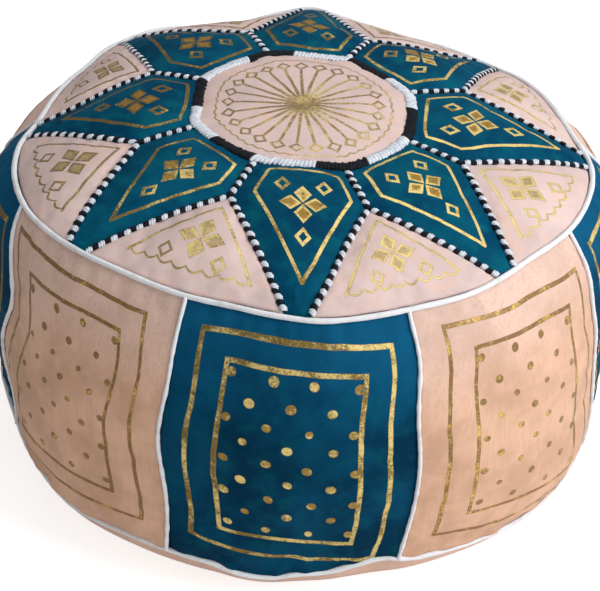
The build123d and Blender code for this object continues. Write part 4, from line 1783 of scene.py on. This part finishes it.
    def add_welt(self, name: str, node: str, path: np.ndarray, outward: np.ndarray, half: float,
                 lumps: tuple[float, float, float], sides: int, closed: bool = False) -> None:
        """Build one piece of piping.

        Args:
            name: Its name.
            node: The node that it stands for.
            path: Points of its middle line.
            outward: The direction away from the leather at each point.
            half: Half its thickness.
            lumps: Size, seed and depth of its lumps.
            sides: Points round it.
            closed: Whether it joins its own start.
        """
        size, seed, depth = lumps
        reach = half * (1 + cloud_at(path, size, seed) * depth)
        pile = MeshPile()
        add_tube(pile, path, outward, reach, reach, sides, closed)
        self.dresser.place(pile.build(name, self.dresser.workshop.take(Piping())), "white_piping", node)

    def make_piping(self) -> None:
        """Build the piping round the rim, round the foot and down each seam."""
        turns = np.linspace(0, 360, 480, endpoint=False)
        around = direction(turns)
        rim = around * (self.form.rim_radius + Ripple(0.0006, 22).at(turns))[:, None]
        rim[:, 2] = self.rim_height(turns)
        names = ("rim_piping", "top_welt")
        self.add_welt(*names, rim, around, self.top_welt, (0.012, 7.0, 0.12), 14, closed=True)
        foot = around * self.form.foot_radius
        foot[:, 2] = self.foot_height(turns)
        names = ("foot_piping", "bottom_welt")
        self.add_welt(*names, foot, around, self.foot_welt, (0.010, 8.0, 0.18), 12, closed=True)
        for number in range(10):
            height = np.linspace(self.form.foot_height, self.form.rim_height, 150)
            turn = self.seam_turn(number, height)
            height = np.linspace(float(self.foot_height(turn[0])), float(self.rim_height(turn[-1])), 150)
            bounded = np.clip(height, self.form.foot_height, self.form.rim_height)
            radius = self.form.side_radius(bounded, self.form.seam_bulge) + self.side_proud
            path = direction(turn) * radius[:, None]
            path[:, 2] = height
            names = (f"side_piping_{number + 1}", f"side_welt_{number + 1}")
            self.add_welt(*names, path, direction(turn), self.side_welt, (0.007, 9.0 + number, 0.3), 10)

    def sheets(self) -> list[Sheet]:
        """Return the ten side panels."""
        return [self.panel(number) for number in range(10)]


@dataclass
class Underside:
    """The two halves of the underside, dished to the foot seam and creased along the zip."""

    dresser: Dresser
    form: CoverForm
    side: SideWall
    leather: float = 0.002
    crease_depth: float = 0.012
    crease_radius: float = 0.034
    crease_roof: float = 0.0166
    window: tuple[float, float] = (0.3866, 0.015)
    seam_gap: float = 0.001
    edge_height: float = 0.0282

    def __post_init__(self) -> None:
        """Work out the crease."""
        inner = self.crease_radius - self.leather
        self.crease_reach = self.crease_roof + sqrt(inner ** 2 - (inner - self.crease_depth) ** 2)

    def dish(self, radius: np.ndarray) -> np.ndarray:
        """Return the height of the dish at a distance from the middle."""
        inset = self.form.foot_radius - self.form.base_flat_radius
        arc = (inset ** 2 + self.edge_height ** 2) / (2 * self.edge_height)
        beyond = np.clip(radius - self.form.base_flat_radius, 0, inset)
        return arc - np.sqrt(arc ** 2 - beyond ** 2)

    def crease(self, across: np.ndarray) -> np.ndarray:
        """Return the height of the crease's roof at a distance from the zip."""
        off = np.clip(self.crease_reach - across, 0, None)
        bend = self.crease_radius - np.sqrt(np.clip(self.crease_radius ** 2 - off ** 2, 0, None))
        bend = np.where(off >= self.crease_radius, self.crease_depth, bend)
        return np.where(across >= self.crease_reach, 0, np.minimum(bend, self.crease_depth))

    def make(self) -> None:
        """Build both halves."""
        for name, sign in (("front", -1), ("back", 1)):
            stations = np.linspace(0.0, pi, 150)[:, None]
            x = -self.form.foot_radius * 0.9995 * np.cos(stations)
            edge = np.sqrt(np.clip(self.form.foot_radius ** 2 - x ** 2, 0, None))
            inner = np.where(np.abs(x) < self.window[0] / 2, self.window[1] / 2, self.seam_gap / 2)
            share = np.sin(np.linspace(0, pi / 2, 64))[None, :]
            y = inner + np.clip(edge - inner, 0.00001, None) * share
            radius = np.minimum(np.hypot(x, y), self.form.foot_radius)
            angle = np.degrees(np.arctan2(sign * y, np.broadcast_to(x, y.shape))) + 90
            rim = self.side.foot_height(angle) - self.side.foot_welt - 0.0003
            height = self.dish(radius) * np.clip(rim / self.edge_height, 0.5, 2)
            height = np.maximum(height, self.crease(y))
            outer = np.stack([np.broadcast_to(x, y.shape), sign * y, height], axis=-1)
            uneven = (cloud_at(outer, 0.02, 80.0) + 0.4) * 0.0008
            outer[..., 2] += np.clip(uneven, 0, None) * (radius < self.form.base_flat_radius)
            # Painted light: the base strip uses a lighter copy of the side leather's colours, standing in for
            # light that reaches the low strip.
            lit_shades = {"light": (0.86, 0.60, 0.48), "dark": (0.74, 0.48, 0.37)}
            finish = Leather("natural_leather_base_lit", **{**NATURAL_SIDE, **lit_shades})
            names = (f"underside_leather_{name}", f"bottom_panel_{name}", "natural_leather")
            Sheet(*names, outer, outer[..., :2], finish, top=False, thickness=self.leather).make(self.dresser)


@dataclass
class Inside:
    """The liner bag and the filling under the leather."""

    dresser: Dresser
    form: CoverForm
    underside: Underside
    liner_rise: float = 0.0024
    filling_rise: float = 0.0038
    zip_room: tuple[float, float, float] = (0.2035, 0.0175, 0.0185)
    shoulder_room: float = 0.006
    rim_room: float = 0.0036
    foot_room: float = 0.0028
    liner_thickness: float = 0.0009

    def profile(self, rise: float) -> np.ndarray:
        """Return the outline of the stuffed form, drawn in by a rise, from the base's middle to the crown."""
        form = self.form
        corner = form.rim_radius - self.rim_room - rise
        top = float(form.crown(corner)) - rise
        foot = form.foot_radius - self.foot_room - rise
        bulge = form.seam_bulge - rise
        points = [(radius, rise) for radius in np.linspace(0, form.base_flat_radius, 30)]
        climb = form.foot_height - rise
        arc = ((foot - form.base_flat_radius) ** 2 + climb ** 2) / (2 * climb)
        for turn in np.linspace(0, acos((arc - form.foot_height + rise) / arc), 10)[1:]:
            points.append((form.base_flat_radius + arc * sin(turn), rise + arc * (1 - cos(turn))))
        for end, low, high in ((foot, form.foot_height, form.bulge_height), (corner, form.bulge_height, top)):
            inset = bulge - end
            arc = (inset ** 2 + (high - low) ** 2) / (2 * inset)
            for height in np.linspace(low, high, 20)[1:]:
                points.append((bulge - arc + sqrt(arc ** 2 - (height - form.bulge_height) ** 2), height))
        for radius in np.linspace(corner, 0, 36)[1:]:
            points.append((radius, float(form.crown(radius)) - rise))
        return np.array(points)

    def body(self, rise: float, seed: float) -> np.ndarray:
        """Return the stuffed form as a closed grid of points."""
        outline = self.profile(rise)
        turns = np.linspace(0, 360, 128, endpoint=False)
        grid = direction(turns)[None, :] * outline[:, None, :1]
        grid[..., 2] = outline[:, 1][:, None]
        low = grid[..., 2] < 0.05
        across = np.abs(grid[..., 1])
        floor = self.underside.crease(np.clip(across - self.shoulder_room, 0, None)) + rise
        grid[..., 2] = np.where(low, np.maximum(grid[..., 2], floor), grid[..., 2])
        room = (np.abs(grid[..., 0]) < self.zip_room[0]) & (across < self.zip_room[1] + rise) & low
        grid[..., 2] = np.where(room, np.maximum(grid[..., 2], self.zip_room[2] + rise), grid[..., 2])
        draw = (cloud_at(grid, 0.02, seed) - 0.5) * 0.0009
        inward = np.clip(draw, None, 0)[..., None] * grid_normals(grid, closed=True)
        return grid + inward

    def make(self) -> None:
        """Build the liner bag and the filling."""
        cotton = Cloth("liner_cotton", (0.78, 0.75, 0.68), (0.60, 0.57, 0.50), 0.0012)
        body = self.body(self.liner_rise, 90.0)
        flat = np.zeros((*body.shape[:2], 2))
        names = ("liner_cloth_bag", "liner_bag", "liner_cloth")
        liner = Sheet(*names, body, flat, cotton, closed=True, top=False, thickness=self.liner_thickness)
        liner.make(self.dresser)
        body = self.body(self.filling_rise, 95.0)
        pile = MeshPile()
        pile.add(body.reshape(-1, 3), grid_faces(*body.shape[:2], closed=True)[:, ::-1])
        piece = pile.build("filling_cushion", self.dresser.workshop.take(Waste()), MERGE_REACH)
        self.dresser.place(piece, "stuffing", "stuffing")


@dataclass
class ZipDress:
    """The zip keeps its modelled pieces and gets its cloth and brass."""

    dresser: Dresser

    def make(self) -> None:
        """Give each piece of the zip its finish."""
        tape = Cloth("zip_cotton_tape", (0.50, 0.36, 0.24), (0.34, 0.24, 0.16), 0.0009)
        finishes = {
            tape: ("zip_tape_front", "zip_tape_back"),
            Brass(): ("zip_teeth_front", "zip_teeth_back", "zip_stops", "zip_slider", "zip_pull"),
        }
        for finish, names in finishes.items():
            for name in names:
                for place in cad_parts[name].material_slots:
                    place.link = "OBJECT"
                    place.material = self.dresser.workshop.take(finish)
                log.info("%s dressed", name)


@dataclass(frozen=True)
class Studio:
    """Plain pale floor, soft lamps and the camera at the photograph's angle."""

    sensor: float = 36.0
    focal_pixels: float = 1707.0
    elevation: float = 36.89
    roll: float = 2.93
    distance: float = 1.2597
    aim: tuple[float, float, float] = (0.0018, -0.2093, 0.265)
    floor_size: float = 12.0
    floor_drop: float = 0.0003
    close_reach: float = 0.02
    floor_shade: Colour = (0.86, 0.86, 0.86)
    floor_glow: float = 0.66
    sky_light: float = 0.29
    lamps: tuple[tuple[str, tuple[float, float, float], float, float], ...] = (
        ("key_lamp", (1.7, -0.6, 1.4), 1.3, 30.0),
        ("top_lamp", (0.3, 0.5, 2.0), 1.6, 12.0),
        ("front_lamp", (0.6, -2.2, 0.9), 1.6, 9.0),
    )

    def make_camera(self) -> None:
        """Build the camera."""
        lens = bpy.data.cameras.new("photo_camera")
        lens.sensor_fit = "HORIZONTAL"
        lens.sensor_width = self.sensor
        lens.lens = self.focal_pixels / PHOTO_WIDTH * self.sensor
        lens.clip_start = 0.01
        camera = stand("photo_camera", lens)
        tilt = radians(self.elevation)
        back = Vector((0, -cos(tilt), sin(tilt)))
        level_up = Vector((0, sin(tilt), cos(tilt)))
        roll = radians(self.roll)
        right = Vector((1, 0, 0)) * cos(roll) + level_up * sin(roll)
        up = Vector((1, 0, 0)) * -sin(roll) + level_up * cos(roll)
        place = Vector(self.aim) + back * self.distance
        axes = Matrix((right, up, back)).transposed().to_4x4()
        camera.matrix_world = Matrix.Translation(place) @ axes
        bpy.context.scene.camera = camera

    def make_lamp(self, name: str, place: tuple[float, float, float], size: float, power: float) -> None:
        """Build one soft lamp that points at the pouf.

        Args:
            name: The lamp's name.
            place: Where it hangs.
            size: Width of its square face.
            power: Its power in watts.
        """
        lamp = bpy.data.lights.new(name, "AREA")
        lamp.shape = "SQUARE"
        lamp.size = size
        lamp.energy = power
        holder = stand(name, lamp)
        holder.location = place
        aim = Vector((0, 0, 0.15)) - Vector(place)
        holder.rotation_euler = aim.to_track_quat("-Z", "Y").to_euler()

    def make_world(self) -> None:
        """Build the surroundings: white where the camera or a gloss looks, softer as light."""
        bench = Bench("studio_surroundings", bpy.data.worlds)
        straight = bench.node("ShaderNodeLightPath", output="Is Camera Ray")
        seen = straight.upper(bench.node("ShaderNodeLightPath", output="Is Transmission Ray"))
        strength = bench.node("ShaderNodeMapRange", None, {"Value": seen, "To Min": self.sky_light})
        sky = bench.node("ShaderNodeBackground", None, {"Color": WHITE, "Strength": strength})
        bench.node("ShaderNodeOutputWorld", None, {"Surface": sky})
        bpy.context.scene.world = bench.material

    def make_floor(self) -> None:
        """Build the floor, pale enough to show white, with the shadow kept and clear from below.

        Rays that meet it close to where they last turned pass through, so some light reaches the
        underside of what stands on it.
        """
        bench = Bench("pale_floor")
        rays = bench.node("ShaderNodeLightPath", output="Is Camera Ray")
        plain = bench.node("ShaderNodeBsdfDiffuse", None, {"Color": (*self.floor_shade, 1.0)})
        glow = bench.node("ShaderNodeEmission", None, {"Color": WHITE, "Strength": self.floor_glow})
        both = bench.node("ShaderNodeAddShader", None, {0: plain, 1: glow})
        shown = bench.node("ShaderNodeMixShader", None, {0: rays, 1: plain, 2: both})
        below = bench.node("ShaderNodeNewGeometry", output="Backfacing")
        close = 1 - bench.node("ShaderNodeLightPath", output="Ray Length").over(self.close_reach)
        clear = bench.node("ShaderNodeBsdfTransparent")
        surface = bench.node("ShaderNodeMixShader", None, {0: below.upper(close), 1: shown, 2: clear})
        bench.node("ShaderNodeOutputMaterial", None, {"Surface": surface})
        half, low = self.floor_size / 2, -self.floor_drop
        pile = MeshPile()
        corners = np.array([(-half, -half, low), (half, -half, low), (half, half, low), (-half, half, low)])
        pile.add(corners, np.array([(0, 1, 2, 3)]))
        pile.build("studio_floor", bench.material)

    def make(self) -> None:
        """Build the whole studio."""
        self.make_camera()
        self.make_world()
        self.make_floor()
        for lamp in self.lamps:
            self.make_lamp(*lamp)
        bpy.context.scene.view_settings.view_transform = "Standard"


def main() -> None:
    """Build the pouf and its studio."""
    logging.basicConfig(level=logging.INFO)
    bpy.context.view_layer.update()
    form = CoverForm()
    dresser = Dresser()
    Studio().make()
    top = StarTop(form)
    side = SideWall(dresser, form, Wander())
    sheets = [*top.sheets(), *side.sheets()]
    Packing().press(sheets)
    for sheet in sheets:
        sheet.make(dresser)
    Lacing(dresser, form, top).make()
    side.make_piping()
    underside = Underside(dresser, form, side)
    underside.make()
    Inside(dresser, form, underside).make()
    ZipDress(dresser).make()


if __name__ == "__main__":
    main()
